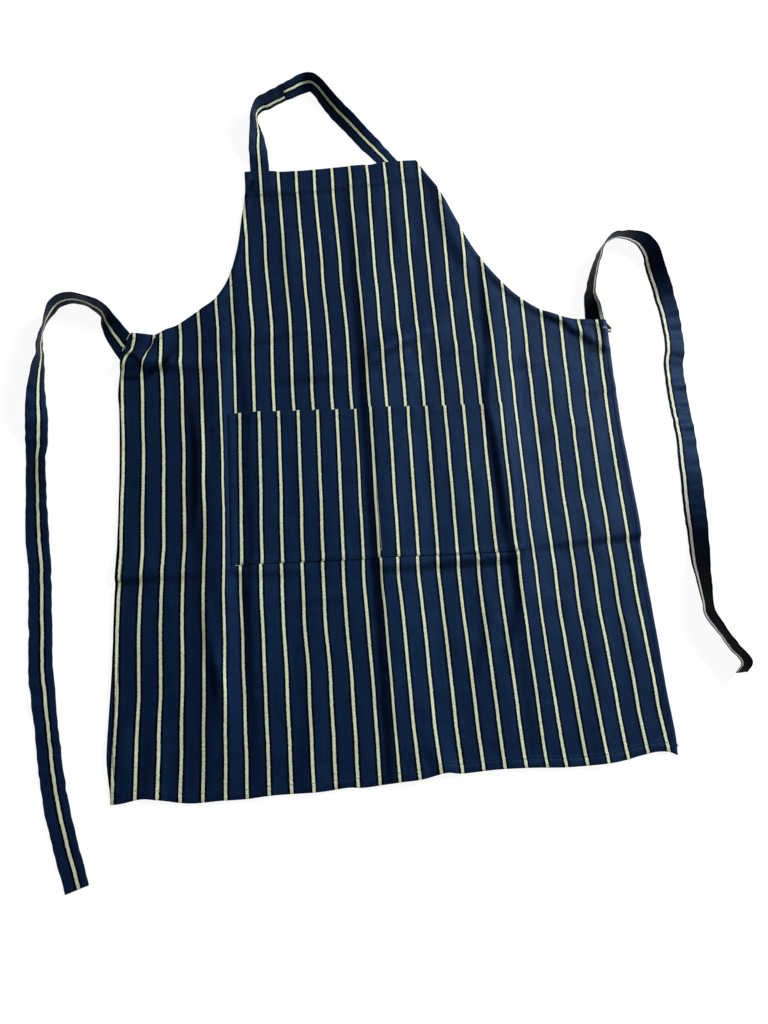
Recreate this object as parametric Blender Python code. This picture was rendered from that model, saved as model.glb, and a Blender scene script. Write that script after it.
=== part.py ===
"""Striped bib apron lying face up on a table: panel, patch pocket, neck strap, waist ties, threads.

Metres, +Z up. The pattern is laid out in cloth coordinates: X to the right of the pocket's
centre seam, Y up from the bottom hem. The empty "apron" carries them to the part's own frame,
whose origin is under the middle of the apron without its ties.
"""

from math import cos, pi, radians, sin

import bpy
from mathutils import Vector

# Cloth
CLOTH = 0.0008  # one layer of the twill
HEM = 0.0018  # a turned hem, three layers pressed flat
RIBBON = 0.0012  # strap and ties, folded to four layers and pressed
GAP = 0.0003  # clearance between pieces that touch
THREAD_WIDTH = 0.0006
THREAD_HEIGHT = 0.0004

# Frame and joints
CENTRE = (0.0080, 0.51097)  # the part's origin in cloth coordinates
FOLD_Y = 0.620  # the bib folds down along this line
HINGE_Z = 0.0030  # fold lines lie on top of the hems and their stitches

# Pattern: the hemmed edges, each a smooth curve through its points
LEFT_SIDE = [(-0.318, 0.606), (-0.331, 0.566), (-0.337, 0.510), (-0.3352, 0.400), (-0.338, 0.270),
             (-0.340, 0.150), (-0.336, 0.000)]
BOTTOM = [(-0.336, 0.000), (-0.170, -0.004), (0.000, 0.002), (0.180, -0.003), (0.345, 0.002)]
RIGHT_SIDE = [(0.345, 0.002), (0.347, 0.150), (0.348, 0.300), (0.3465, 0.500), (0.348, 0.560),
              (0.347, 0.598)]
LEFT_SHOULDER = [(-0.255, FOLD_Y), (-0.270, 0.612), (-0.287, 0.603), (-0.318, 0.606)]
RIGHT_SHOULDER = [(0.347, 0.598), (0.300, 0.604), (0.275, 0.612), (0.256, FOLD_Y)]
RIGHT_ARMHOLE = [(0.256, FOLD_Y), (0.232, 0.639), (0.205, 0.665), (0.182, 0.700), (0.160, 0.740),
                 (0.146, 0.780), (0.130, 0.825), (0.1155, 0.852)]
RIGHT_BIB_CORNER = [(0.1155, 0.852), (0.098, 0.883)]
BIB_TOP = [(0.098, 0.883), (0.060, 0.8805), (0.000, 0.8745), (-0.080, 0.868), (-0.158, 0.866)]
LEFT_BIB_CORNER = [(-0.158, 0.866), (-0.158, 0.830)]
LEFT_ARMHOLE = [(-0.158, 0.830), (-0.162, 0.790), (-0.172, 0.740), (-0.184, 0.695),
                (-0.204, 0.660), (-0.230, 0.638), (-0.255, FOLD_Y)]
SIDE_HEM, BOTTOM_HEM, ARMHOLE_HEM, BIB_HEM = 0.008, 0.013, 0.010, 0.030
STITCH_INSET = 0.0015  # a hem's stitch line, back from the hem's inner edge

# Patch pocket: corners, hem and the ease that lets its two mouths open
POCKET_LEFT, POCKET_RIGHT = -0.192, 0.193
POCKET_BOTTOM = (0.275, 0.270)  # at the left and right sides
POCKET_MOUTH = (0.484, 0.478)
POCKET_HEM = 0.011
POCKET_EASE = 0.011
DIVIDER_X = 0.0

# Strap and ties: (x, y, roll in degrees, width). The ribbon stands on its lower edge as it rolls.
RIBBON_WIDTH = 0.028
RING_STEP = 0.012
RING_TURN = 14  # degrees of turn and roll between rings
NECK_ROUTE = [
    (-0.136, 0.860, 0, 0.028), (-0.136, 0.876, 4, 0.028), (-0.1365, 0.892, 14, 0.028),
    (-0.137, 0.908, 28, 0.028), (-0.138, 0.928, 45, 0.028), (-0.1395, 0.948, 64, 0.028),
    (-0.139, 0.964, 80, 0.028), (-0.133, 0.976, 85, 0.028), (-0.118, 0.985, 80, 0.028),
    (-0.100, 0.996, 77, 0.028), (-0.082, 1.007, 70, 0.028), (-0.066, 1.016, 62, 0.028),
    (-0.0535, 1.019, 62, 0.028), (-0.044, 1.011, 60, 0.028), (-0.033, 0.995, 48, 0.028),
    (-0.018, 0.973, 36, 0.028), (0.002, 0.947, 27, 0.028), (0.022, 0.921, 16, 0.028),
    (0.040, 0.899, 6, 0.028), (0.057, 0.877, 0, 0.028), (0.065, 0.865, 0, 0.028),
]
NECK_SEAM_X = -0.096  # the strap is pieced from two lengths
LEFT_TIE_ROUTE = [
    (-0.318, 0.577, 0, 0.036), (-0.328, 0.590, 0, 0.034), (-0.339, 0.606, 6, 0.030),
    (-0.349, 0.623, 35, 0.028), (-0.357, 0.639, 68, 0.028), (-0.3755, 0.6515, 88, 0.028),
    (-0.395, 0.658, 90, 0.028), (-0.411, 0.6555, 90, 0.028), (-0.4215, 0.6465, 92, 0.028),
    (-0.429, 0.6315, 98, 0.028), (-0.434, 0.612, 106, 0.028), (-0.436, 0.592, 97, 0.028),
    (-0.4355, 0.5725, 87, 0.028), (-0.4365, 0.553, 78, 0.028), (-0.438, 0.5335, 65, 0.028),
    (-0.4385, 0.515, 50, 0.028), (-0.438, 0.491, 33, 0.028), (-0.438, 0.463, 12, 0.028),
    (-0.438, 0.430, -14, 0.028), (-0.436, 0.395, -12, 0.028), (-0.434, 0.360, -6, 0.028),
    (-0.432, 0.322, 0, 0.029), (-0.427, 0.285, 0, 0.027), (-0.425, 0.240, 0, 0.028),
    (-0.4225, 0.195, 0, 0.028), (-0.420, 0.155, 0, 0.029), (-0.411, 0.090, 0, 0.027),
    (-0.402, 0.030, 0, 0.028), (-0.3875, -0.030, 0, 0.028), (-0.370, -0.0875, 0, 0.027),
]
RIGHT_TIE_ROUTE = [
    (0.334, 0.590, 180, 0.026), (0.3335, 0.603, 170, 0.026), (0.3305, 0.611, 144, 0.027),
    (0.3275, 0.6205, 118, 0.028), (0.3275, 0.637, 108, 0.028), (0.3345, 0.661, 103, 0.028),
    (0.344, 0.686, 98, 0.028), (0.3555, 0.7105, 95, 0.028), (0.3655, 0.724, 96, 0.028),
    (0.376, 0.7315, 100, 0.028), (0.3885, 0.7345, 103, 0.028), (0.403, 0.733, 98, 0.028),
    (0.418, 0.7255, 82, 0.028), (0.430, 0.708, 58, 0.028), (0.434, 0.684, 40, 0.028),
    (0.438, 0.656, 28, 0.028), (0.4435, 0.618, 14, 0.028), (0.4455, 0.580, 4, 0.028),
    (0.4435, 0.552, 4, 0.028), (0.4375, 0.528, 0, 0.028), (0.435, 0.500, 0, 0.028),
    (0.434, 0.460, 0, 0.028), (0.435, 0.420, 0, 0.028), (0.4315, 0.380, 6, 0.028),
    (0.4275, 0.340, 20, 0.028), (0.4235, 0.300, 32, 0.028), (0.418, 0.258, 54, 0.028),
    (0.4155, 0.218, 75, 0.028), (0.4145, 0.188, 87, 0.028), (0.4155, 0.170, 90, 0.028),
    (0.4255, 0.149, 90, 0.028), (0.438, 0.127, 90, 0.028), (0.448, 0.1125, 90, 0.028),
    (0.4495, 0.104, 90, 0.028), (0.441, 0.0945, 90, 0.028),
]
LEFT_TIE_HINGE_X = -0.3325  # just outside the left side hem
RIGHT_TIE_HINGE_X = 0.3185  # just inside the foot of the right tie
RIGHT_TIE_CUT_Y = 0.6028  # just above the right shoulder's edge
STITCH_LINE = 0.0025 - RIBBON_WIDTH / 2  # the closing seam, just in from a ribbon's lower edge

NAVY = (0.010, 0.020, 0.051, 1.0)
CREAM = (0.560, 0.610, 0.430, 1.0)


def material(name, colour, roughness):
    made = bpy.data.materials.new(name)
    made.use_nodes = True
    shader = made.node_tree.nodes["Principled BSDF"]
    shader.inputs["Base Color"].default_value = colour
    shader.inputs["Roughness"].default_value = roughness
    shader.inputs["Metallic"].default_value = 0.0
    return made


def empty(name, place, parent=None):
    made = bpy.data.objects.new(name, None)
    made.location = place
    made.parent = parent
    bpy.context.scene.collection.objects.link(made)
    return made


def add_solid(name, points, faces, parent, colour=NAVY, roughness=0.85):
    """A mesh given in cloth coordinates, hung on the empty that marks its body's joint."""
    pivot = cloth_place(parent)
    mesh = bpy.data.meshes.new(name)
    mesh.from_pydata([tuple(Vector(point) - pivot) for point in points], [], faces)
    mesh.update()
    mesh.materials.append(material(name, colour, roughness))
    made = bpy.data.objects.new(name, mesh)
    made.parent = parent
    bpy.context.scene.collection.objects.link(made)
    return made


def cloth_place(holder):
    """Where an empty stands in cloth coordinates."""
    place = Vector((CENTRE[0], CENTRE[1], 0.0))
    while holder:
        place += holder.location
        holder = holder.parent
    return place


def smooth(points, step):
    """A Catmull-Rom curve through the points, sampled about every step along its x and y."""
    padded = [[2 * a - b for a, b in zip(points[0], points[1])], *points,
              [2 * a - b for a, b in zip(points[-1], points[-2])]]
    samples = []
    for before, start, end, after in zip(padded, padded[1:], padded[2:], padded[3:]):
        length = (Vector(end[:2]) - Vector(start[:2])).length
        count = max(1, round(length / step))
        for i in range(count):
            t = i / count
            samples.append(tuple(
                0.5 * (2 * b + (c - a) * t + (2 * a - 5 * b + 4 * c - d) * t * t
                       + (3 * b - a - 3 * c + d) * t ** 3)
                for a, b, c, d in zip(before, start, end, after)))
    return [*samples, tuple(points[-1])]


def inner_path(path, widths, ends_on_fold):
    """The hems' inner edge: each path point moved in by the width of the hems that meet there."""
    points = [Vector(point) for point in path]
    inward = []
    for start, end in zip(points, points[1:]):
        along = (end - start).normalized()
        inward.append(Vector((-along.y, along.x)))
    moved = []
    for i, point in enumerate(points):
        before, after = inward[max(i - 1, 0)], inward[min(i, len(inward) - 1)]
        w_before, w_after = widths[max(i - 1, 0)], widths[min(i, len(widths) - 1)]
        if ends_on_fold and i in (0, len(points) - 1):
            moved.append(Vector((point.x + w_after / after.x, point.y)))
            continue
        turn = before.cross(after)
        if abs(turn) < 0.4:
            moved.append(point + (before + after).normalized() * (w_before + w_after) / 2)
        else:
            x = (w_before * after.y - w_after * before.y) / turn
            y = (w_after * before.x - w_before * after.x) / turn
            moved.append(point + Vector((x, y)))
    return moved


def hemmed_panel(name, edges, parent):
    """A flat panel whose hems are thicker: edges run anticlockwise between the fold line's ends."""
    path, widths = [], []
    for points, width, step in edges:
        samples = smooth(points, step)
        path += samples[:-1]
        widths += [width] * (len(samples) - 1)
    path.append(edges[-1][0][-1])
    inner = inner_path(path, widths, ends_on_fold=True)
    count = len(path)
    rows = [(path, 0.0), (path, HEM), (inner, HEM), (inner, CLOTH)]
    points = [(p[0], p[1], z) for row, z in rows for p in row]
    faces = [list(reversed(range(count))), list(range(3 * count, 4 * count))]
    for row in range(3):
        for i in range(count - 1):
            a, b = row * count + i, row * count + i + 1
            faces.append([a, b, b + count, a + count])
    first, last = 0, count - 1
    faces.append([last, first, first + count, first + 2 * count, first + 3 * count,
                  last + 3 * count, last + 2 * count, last + count])
    return add_solid(name, points, faces, parent)


def prism(name, outline, low, high, parent, colour=NAVY):
    """An outline, anticlockwise from above, raised from one height to another."""
    count = len(outline)
    points = [(x, y, low) for x, y in outline] + [(x, y, high) for x, y in outline]
    faces = [list(reversed(range(count))), list(range(count, 2 * count))]
    faces += [[i, (i + 1) % count, (i + 1) % count + count, i + count] for i in range(count)]
    return add_solid(name, points, faces, parent, colour)


def combine(target, tool, operation):
    """A Boolean with a hidden tool; the tool's own place is in its mesh."""
    tool.hide_render = True
    tool.display_type = "WIRE"
    modifier = target.modifiers.new(tool.name, "BOOLEAN")
    modifier.operation = operation
    modifier.object = tool


def band(name, centres, sides, ups, width, height, parent, colour=NAVY):
    """A closed band with a rectangular section, given each ring's centre and directions."""
    points, faces = [], []
    for centre, side, up, wide in zip(centres, sides, ups, width):
        across, rise = side * wide / 2, up * height / 2
        points += [centre - across - rise, centre + across - rise,
                   centre + across + rise, centre - across + rise]
    rings = len(centres)
    for ring in range(rings - 1):
        for i in range(4):
            a, b = ring * 4 + i, ring * 4 + (i + 1) % 4
            faces.append([a, a + 4, b + 4, b])
    faces += [[0, 1, 2, 3], [rings * 4 - 1, rings * 4 - 2, rings * 4 - 3, rings * 4 - 4]]
    return add_solid(name, points, faces, parent, colour)


def thread(name, points, parent, colour=NAVY):
    """A run of stitches as one thin band, along points on the surface that it is sewn to."""
    lift = Vector((0, 0, GAP + THREAD_HEIGHT / 2))
    centres = [Vector(point) + lift for point in points]
    sides = []
    for i in range(len(centres)):
        along = centres[min(i + 1, len(centres) - 1)] - centres[max(i - 1, 0)]
        sides.append(Vector((-along.y, along.x, 0)).normalized())
    ups = [Vector((0, 0, 1))] * len(centres)
    return band(name, centres, [-side for side in sides], ups, [THREAD_WIDTH] * len(centres),
                THREAD_HEIGHT, parent, colour)


def hem_thread(name, points, hem, parent, trim=(2, 2), step=0.020):
    """The stitch line of one hem. trim leaves out that many samples at each end."""
    path = smooth(points, step)
    inner = inner_path(path, [hem - STITCH_INSET] * (len(path) - 1), ends_on_fold=False)
    kept = inner[trim[0]:len(inner) - trim[1]]
    thread(name, [(p.x, p.y, HEM) for p in kept], parent)


def ribbon_rings(route, side):
    """Rings along a route: centre, raised edge's direction, face normal, width and tangent.

    side is 1 where a positive roll raises the edge on the left of the way along, -1 on the right.
    Rings stand RING_STEP apart, and closer where the ribbon turns or rolls.
    """
    samples = smooth(route, RING_STEP / 5)
    kept = [samples[0]]
    heading = Vector(samples[1][:2]) - Vector(samples[0][:2])
    for sample, after in zip(samples[1:-1], samples[2:]):
        moved = (Vector(sample[:2]) - Vector(kept[-1][:2])).length
        new_heading = Vector(after[:2]) - Vector(sample[:2])
        turned = heading.angle(new_heading) + abs(radians(sample[2] - kept[-1][2]))
        if moved > RING_STEP or (moved > RING_STEP * 0.35 and turned > radians(RING_TURN)):
            kept.append(sample)
            heading = new_heading
    kept.append(samples[-1])
    rings = []
    for i, (x, y, roll, width) in enumerate(kept):
        along = (Vector(kept[min(i + 1, len(kept) - 1)][:2])
                 - Vector(kept[max(i - 1, 0)][:2])).normalized()
        out = Vector((-along.y, along.x, 0)) * side
        angle = radians(roll)
        raised = out * cos(angle) + Vector((0, 0, sin(angle)))
        face = Vector((0, 0, cos(angle))) - out * sin(angle)
        height = width / 2 * abs(sin(angle)) + RIBBON / 2 * abs(cos(angle))
        rings.append((Vector((x, y, height)), raised, face, width, Vector((*along, 0))))
    return rings


def add_ribbon(name, rings, side, parent, start=None, end=None):
    """A ribbon's solid. start and end are planes (point, normal) that cut it off square to them."""
    def section(ring):
        centre, raised, face, width, _ = ring
        reach = [-width / 2, STITCH_LINE, width / 2]
        under = [centre + raised * across - face * RIBBON / 2 for across in reach]
        over = [centre + raised * across + face * RIBBON / 2 for across in reversed(reach)]
        loop = under + over
        return loop if side < 0 else loop[::-1]

    def beyond(ring, plane):
        point, normal = Vector(plane[0]), Vector(plane[1])
        return max((corner - point).dot(normal) for corner in section(ring))

    def slide(ring, plane):
        point, normal, along = Vector(plane[0]), Vector(plane[1]), ring[4]
        return [c - along * ((c - point).dot(normal) / along.dot(normal)) for c in section(ring)]

    kept = list(rings)
    while start and beyond(kept[0], start) > -0.001:
        kept.pop(0)
    while end and beyond(kept[-1], end) > -0.001:
        kept.pop()
    sections = [section(ring) for ring in kept]
    if start:
        sections.insert(0, slide(kept[0], start))
    if end:
        sections.append(slide(kept[-1], end))
    points = [corner for loop in sections for corner in loop]
    size = len(sections[0])
    faces = []
    for ring in range(len(sections) - 1):
        for i in range(size):
            a, b = ring * size + i, ring * size + (i + 1) % size
            faces.append([a, a + size, b + size, b])
    last = len(points)
    faces += [list(range(size)), list(reversed(range(last - size, last)))]
    add_solid(name, points, faces, parent)
    return kept


def ribbon_thread(name, rings, parent, offset):
    """A seam on a ribbon's face, offset from its middle towards the raised edge."""
    lift = RIBBON / 2 + GAP + THREAD_HEIGHT / 2
    centres = [centre + raised * offset + face * lift for centre, raised, face, _, _ in rings]
    raised = [ring[1] for ring in rings]
    faces = [ring[2] for ring in rings]
    turn = 1 if raised[0].cross(faces[0]).dot(rings[0][4]) < 0 else -1
    band(name, centres, [edge * turn for edge in raised], faces,
         [THREAD_WIDTH] * len(rings), THREAD_HEIGHT, parent)


def cross_thread(name, ring, parent):
    """A seam straight across a ribbon at one of its rings."""
    centre, raised, face, width, along = ring
    lift = RIBBON / 2 + GAP + THREAD_HEIGHT / 2
    middle = centre + face * lift
    reach = raised * (width / 2 - 0.0045)
    ends = [middle - reach, middle + reach]
    turn = 1 if along.cross(face).dot(raised) < 0 else -1
    band(name, ends, [along * turn] * 2, [face] * 2, [THREAD_WIDTH] * 2, THREAD_HEIGHT, parent)


def pocket_height(across, up):
    """How far the pocket's inside stands off the panel, from 0 to 1 across it and up it."""
    middle = (DIVIDER_X - POCKET_LEFT) / (POCKET_RIGHT - POCKET_LEFT)
    if across < middle:
        part = across / middle
    else:
        part = (across - middle) / (1 - middle)
    return POCKET_EASE * max(sin(pi * part), 0.0) ** 0.8 * up ** 0.8


def pocket_point(across, up, lift=0.0):
    """A point on the pocket's underside, in cloth coordinates."""
    low = POCKET_BOTTOM[0] * (1 - across) + POCKET_BOTTOM[1] * across
    high = POCKET_MOUTH[0] * (1 - across) + POCKET_MOUTH[1] * across
    x = POCKET_LEFT * (1 - across) + POCKET_RIGHT * across
    z = CLOTH + GAP + pocket_height(across, up) + lift
    return (x, low * (1 - up) + high * up, z)


def add_pocket(parent):
    hem_line = 1 - POCKET_HEM / (POCKET_MOUTH[0] - POCKET_BOTTOM[0])
    middle = (DIVIDER_X - POCKET_LEFT) / (POCKET_RIGHT - POCKET_LEFT)
    half = [i / 12 for i in range(13)]
    columns = [middle * t for t in half] + [middle + (1 - middle) * t for t in half[1:]]
    rows = [hem_line * i / 7 for i in range(8)]
    under = [(up, 0.0) for up in [*rows, 1.0]]
    over = [(up, CLOTH) for up in rows] + [(hem_line + 0.002, 2 * CLOTH), (1.0, 2 * CLOTH)]
    points = [pocket_point(across, up, lift) for up, lift in under for across in columns]
    start = len(points)
    points += [pocket_point(across, up, lift) for up, lift in over for across in columns]
    wide = len(columns)

    def grid(first, rows_used, flip):
        cells = []
        for j in range(rows_used - 1):
            for i in range(wide - 1):
                a = first + j * wide + i
                cell = [a, a + 1, a + 1 + wide, a + wide]
                cells.append(cell[::-1] if flip else cell)
        return cells

    faces = grid(0, len(under), True) + grid(start, len(over), False)
    top_under, top_over = (len(under) - 1) * wide, start + (len(over) - 1) * wide
    for i in range(wide - 1):
        faces.append([i, i + 1, start + i + 1, start + i])
        faces.append([top_under + i + 1, top_under + i, top_over + i, top_over + i + 1])
    for column, flip in ((0, False), (wide - 1, True)):
        side = [start + j * wide + column for j in range(len(over))]
        side += [j * wide + column for j in reversed(range(len(under)))]
        faces.append(side[::-1] if flip else side)
    add_solid("patch_pocket", points, faces, parent)


def add_pocket_threads(parent):
    """Hem, edge and divider seams, on top of the pocket, and a bar tack at each mouth corner."""
    span = POCKET_RIGHT - POCKET_LEFT
    tall = POCKET_MOUTH[0] - POCKET_BOTTOM[0]
    middle = (DIVIDER_X - POCKET_LEFT) / span
    edge, hem_line = 0.0035 / span, 1 - (POCKET_HEM - STITCH_INSET) / tall
    low, divider_top = 0.0035 / tall, hem_line - 0.004 / tall
    steps = [i / 24 for i in range(25)]
    inset = 0.009 / span
    hem = [pocket_point(inset + (1 - 2 * inset) * t, hem_line, 2 * CLOTH) for t in steps]
    thread("pocket_hem_stitch", hem, parent)
    rise = [low + (divider_top - low) * i / 10 for i in range(11)]
    left = [pocket_point(edge, up, CLOTH) for up in reversed(rise)]
    base = [pocket_point(edge + (1 - 2 * edge) * t, low, CLOTH) for t in steps[1:-1]]
    right = [pocket_point(1 - edge, up, CLOTH) for up in rise]
    thread("pocket_edge_stitch", [*left, *base, *right], parent)
    seam = [pocket_point(middle, up, CLOTH) for up in rise[1:]]
    thread("pocket_divider_stitch", seam, parent, CREAM)
    for name, across in (("left_pocket_bar_tack", edge), ("right_pocket_bar_tack", 1 - edge)):
        x, y, z = pocket_point(across, 1 - 0.005 / tall, 2 * CLOTH + GAP)
        tack = [(x - 0.001, y - 0.004), (x + 0.001, y - 0.004),
                (x + 0.001, y + 0.004), (x - 0.001, y + 0.004)]
        prism(name, tack, z, z + 2 * THREAD_HEIGHT, parent)


def anchor(name, panel, outline, parent, pad=None):
    """A ribbon's sewn-down end in a recess under a panel, with its stitches on top."""
    if pad:
        combine(panel, prism(name + "_pad", pad, 0.0, HEM + CLOTH, parent), "UNION")
    middle = sum((Vector(point) for point in outline), Vector((0, 0))) / len(outline)
    room = [middle + (Vector(p) - middle) * (1 + 2 * GAP / (Vector(p) - middle).length)
            for p in outline]
    recess = prism(name + "_recess", room, -0.001, RIBBON + GAP, parent)
    combine(panel, recess, "DIFFERENCE")
    prism(name, outline, 0.0, RIBBON, parent)


def box_stitch(name, corners, height, parent):
    """An open box of stitches round a sewn-down end."""
    thread(name, [(x, y, height) for x, y in corners], parent)


def build():
    for old in list(bpy.data.objects):
        bpy.data.objects.remove(old)
    apron = empty("apron", (-CENTRE[0], -CENTRE[1], 0))
    bib = empty("bib", (0.0, FOLD_Y, HINGE_Z), apron)
    top_left, top_right = Vector((-0.136, 0.8667, 0)), Vector((0.055, 0.8800, 0))
    strap = empty("strap", top_left - Vector((0, FOLD_Y, 0)), bib)
    left_tie = empty("left_tie", (LEFT_TIE_HINGE_X, 0.586, HINGE_Z), apron)
    right_tie = empty("right_tie", (RIGHT_TIE_HINGE_X, 0.600, HINGE_Z), apron)

    skirt_edges = [
        (LEFT_SHOULDER, ARMHOLE_HEM, 0.012), (LEFT_SIDE, SIDE_HEM, 0.030),
        (BOTTOM, BOTTOM_HEM, 0.060), (RIGHT_SIDE, SIDE_HEM, 0.030),
        (RIGHT_SHOULDER, ARMHOLE_HEM, 0.012),
    ]
    skirt_panel = hemmed_panel("skirt_panel", skirt_edges, apron)
    right_armhole = [(x, max(y, FOLD_Y + GAP)) for x, y in RIGHT_ARMHOLE]
    left_armhole = [(x, max(y, FOLD_Y + GAP)) for x, y in LEFT_ARMHOLE]
    bib_edges = [
        (right_armhole, ARMHOLE_HEM, 0.016), (RIGHT_BIB_CORNER, ARMHOLE_HEM, 0.100),
        (BIB_TOP, BIB_HEM, 0.040), (LEFT_BIB_CORNER, ARMHOLE_HEM, 0.100),
        (left_armhole, ARMHOLE_HEM, 0.016),
    ]
    bib_panel = hemmed_panel("bib_panel", bib_edges, bib)

    add_pocket(apron)
    add_pocket_threads(apron)
    hem_thread("left_side_stitch", LEFT_SIDE, SIDE_HEM, apron, trim=(4, 1))
    hem_thread("right_side_stitch", RIGHT_SIDE, SIDE_HEM, apron, trim=(1, 4))
    hem_thread("bottom_hem_stitch", BOTTOM, BOTTOM_HEM, apron, trim=(0, 0))
    hem_thread("left_shoulder_stitch", LEFT_SHOULDER[:-1], ARMHOLE_HEM, apron, (1, 0), 0.008)
    hem_thread("right_shoulder_stitch", RIGHT_SHOULDER[1:], ARMHOLE_HEM, apron, (0, 1), 0.008)
    hem_thread("left_armhole_stitch", LEFT_ARMHOLE, ARMHOLE_HEM, bib, trim=(0, 1))
    hem_thread("right_armhole_stitch", RIGHT_ARMHOLE, ARMHOLE_HEM, bib, trim=(1, 0))
    hem_thread("bib_hem_stitch", BIB_TOP, BIB_HEM, bib, trim=(0, 0))

    anchor("left_strap_anchor", bib_panel,
           [(-0.1500, 0.8415), (-0.1220, 0.8415), (-0.1220, 0.8655), (-0.1500, 0.8645)], bib)
    anchor("right_strap_anchor", bib_panel,
           [(0.0530, 0.8570), (0.0760, 0.8590), (0.0690, 0.8790), (0.0420, 0.8765)], bib)
    anchor("left_tie_anchor", skirt_panel,
           [(-0.3290, 0.5650), (-0.3060, 0.5650), (-0.3010, 0.5980), (-0.3180, 0.6020)], apron,
           pad=[(-0.3295, 0.5600), (-0.3020, 0.5600), (-0.2970, 0.6000), (-0.3172, 0.6035)])
    anchor("right_tie_anchor", skirt_panel,
           [(0.3210, 0.5520), (0.3465, 0.5520), (0.3560, 0.5860), (0.3560, 0.5960),
            (0.3455, 0.5990), (0.3210, 0.6020)], apron,
           pad=[(0.3170, 0.5480), (0.3460, 0.5480), (0.3455, 0.5960), (0.3170, 0.5995)])
    pad_top = HEM + CLOTH
    box_stitch("left_strap_tack", [(-0.147, 0.8485), (-0.147, 0.862), (-0.125, 0.862),
                                   (-0.125, 0.8485)], HEM, bib)
    box_stitch("right_strap_tack", [(0.052, 0.862), (0.050, 0.874), (0.071, 0.876),
                                    (0.073, 0.863)], HEM, bib)
    box_stitch("left_tie_tack", [(-0.3210, 0.600), (-0.3265, 0.572), (-0.309, 0.570),
                                 (-0.305, 0.594)], pad_top, apron)
    box_stitch("right_tie_tack", [(0.3425, 0.590), (0.3425, 0.553), (0.322, 0.555),
                                  (0.322, 0.592)], pad_top, apron)

    edge = (top_right - top_left).normalized()
    off_bib = Vector((-edge.y, edge.x, 0))
    bib_line = top_left + off_bib * 0.0012
    neck = ribbon_rings(NECK_ROUTE, 1)
    seam = ((NECK_SEAM_X, 0, 0), (1, 0, 0))
    past_seam = ((NECK_SEAM_X + GAP, 0, 0), (-1, 0, 0))
    below_bib = (bib_line, -off_bib)
    rising = [ring for ring in neck if ring[0].x < NECK_SEAM_X]
    falling = [ring for ring in neck if ring[0].x > NECK_SEAM_X]
    left_kept = add_ribbon("neck_strap_left", rising, 1, strap, below_bib, seam)
    right_kept = add_ribbon("neck_strap_right", falling, 1, strap, past_seam, below_bib)
    ribbon_thread("neck_strap_left_stitch", left_kept, strap, STITCH_LINE)
    ribbon_thread("neck_strap_right_stitch", right_kept, strap, STITCH_LINE)
    cross_thread("neck_strap_seam_stitch", right_kept[0], strap)

    left_rings = ribbon_rings(LEFT_TIE_ROUTE, -1)
    left_cut = ((LEFT_TIE_HINGE_X, 0, 0), (1, 0, 0))
    kept = add_ribbon("left_waist_tie", left_rings, -1, left_tie, start=left_cut)
    ribbon_thread("left_tie_edge_stitch", kept[:-1], left_tie, STITCH_LINE)
    cross_thread("left_tie_end_stitch", kept[-2], left_tie)

    right_rings = ribbon_rings(RIGHT_TIE_ROUTE, 1)
    right_cut = ((0, RIGHT_TIE_CUT_Y, 0), (0, -1, 0))
    kept = add_ribbon("right_waist_tie", right_rings, 1, right_tie, start=right_cut)
    ribbon_thread("right_tie_edge_stitch", kept[:-1], right_tie, STITCH_LINE)
    cross_thread("right_tie_end_stitch", kept[-2], right_tie)


build()
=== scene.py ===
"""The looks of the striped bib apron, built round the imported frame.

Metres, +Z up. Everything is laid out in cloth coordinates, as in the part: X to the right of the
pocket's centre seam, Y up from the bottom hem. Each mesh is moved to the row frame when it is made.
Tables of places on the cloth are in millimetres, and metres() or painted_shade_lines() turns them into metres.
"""

from math import cos, pi, radians, sin

import bpy
import numpy as np
from mathutils import Matrix, Vector, noise
from mathutils.geometry import delaunay_2d_cdt
from mathutils.kdtree import KDTree


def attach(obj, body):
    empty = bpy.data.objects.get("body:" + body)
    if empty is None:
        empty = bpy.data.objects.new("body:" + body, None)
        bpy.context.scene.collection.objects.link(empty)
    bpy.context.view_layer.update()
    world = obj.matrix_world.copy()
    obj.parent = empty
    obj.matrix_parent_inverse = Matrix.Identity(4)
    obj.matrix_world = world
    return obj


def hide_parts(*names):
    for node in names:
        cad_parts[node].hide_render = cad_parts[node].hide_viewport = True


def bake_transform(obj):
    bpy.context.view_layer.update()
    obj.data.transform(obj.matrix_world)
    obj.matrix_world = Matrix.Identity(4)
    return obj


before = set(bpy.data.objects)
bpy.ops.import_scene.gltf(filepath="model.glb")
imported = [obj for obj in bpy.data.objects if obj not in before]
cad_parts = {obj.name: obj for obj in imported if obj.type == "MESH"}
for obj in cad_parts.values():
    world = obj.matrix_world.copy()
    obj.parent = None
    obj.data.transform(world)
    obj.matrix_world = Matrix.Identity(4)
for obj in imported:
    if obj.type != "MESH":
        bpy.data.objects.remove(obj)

CENTRE = Vector((0.0080, 0.51097, 0.0))  # the row frame's origin in cloth coordinates
PITCH = 0.0254  # from one woven stripe to the next

# Thickness
CLOTH = 0.0006
HEM = 0.0014
HEM_DROP = 0.0004  # the cloth between hems stands this much off the table
RIBBON = 0.0016
THREAD = 0.00060


def metres(value):
    """Millimetres, nested in lists and tuples, as metres."""
    if isinstance(value, (list, tuple)):
        return type(value)(metres(part) for part in value)
    return value / 1000


def painted_shade_lines(table):
    """Lines of painted shade along creases, with their places and widths in millimetres, as metres.
    Darkness stays as it is.
    """
    return [([(x / 1000, y / 1000, dark) for x, y, dark in points], left / 1000, right / 1000)
            for points, left, right in table]


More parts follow.
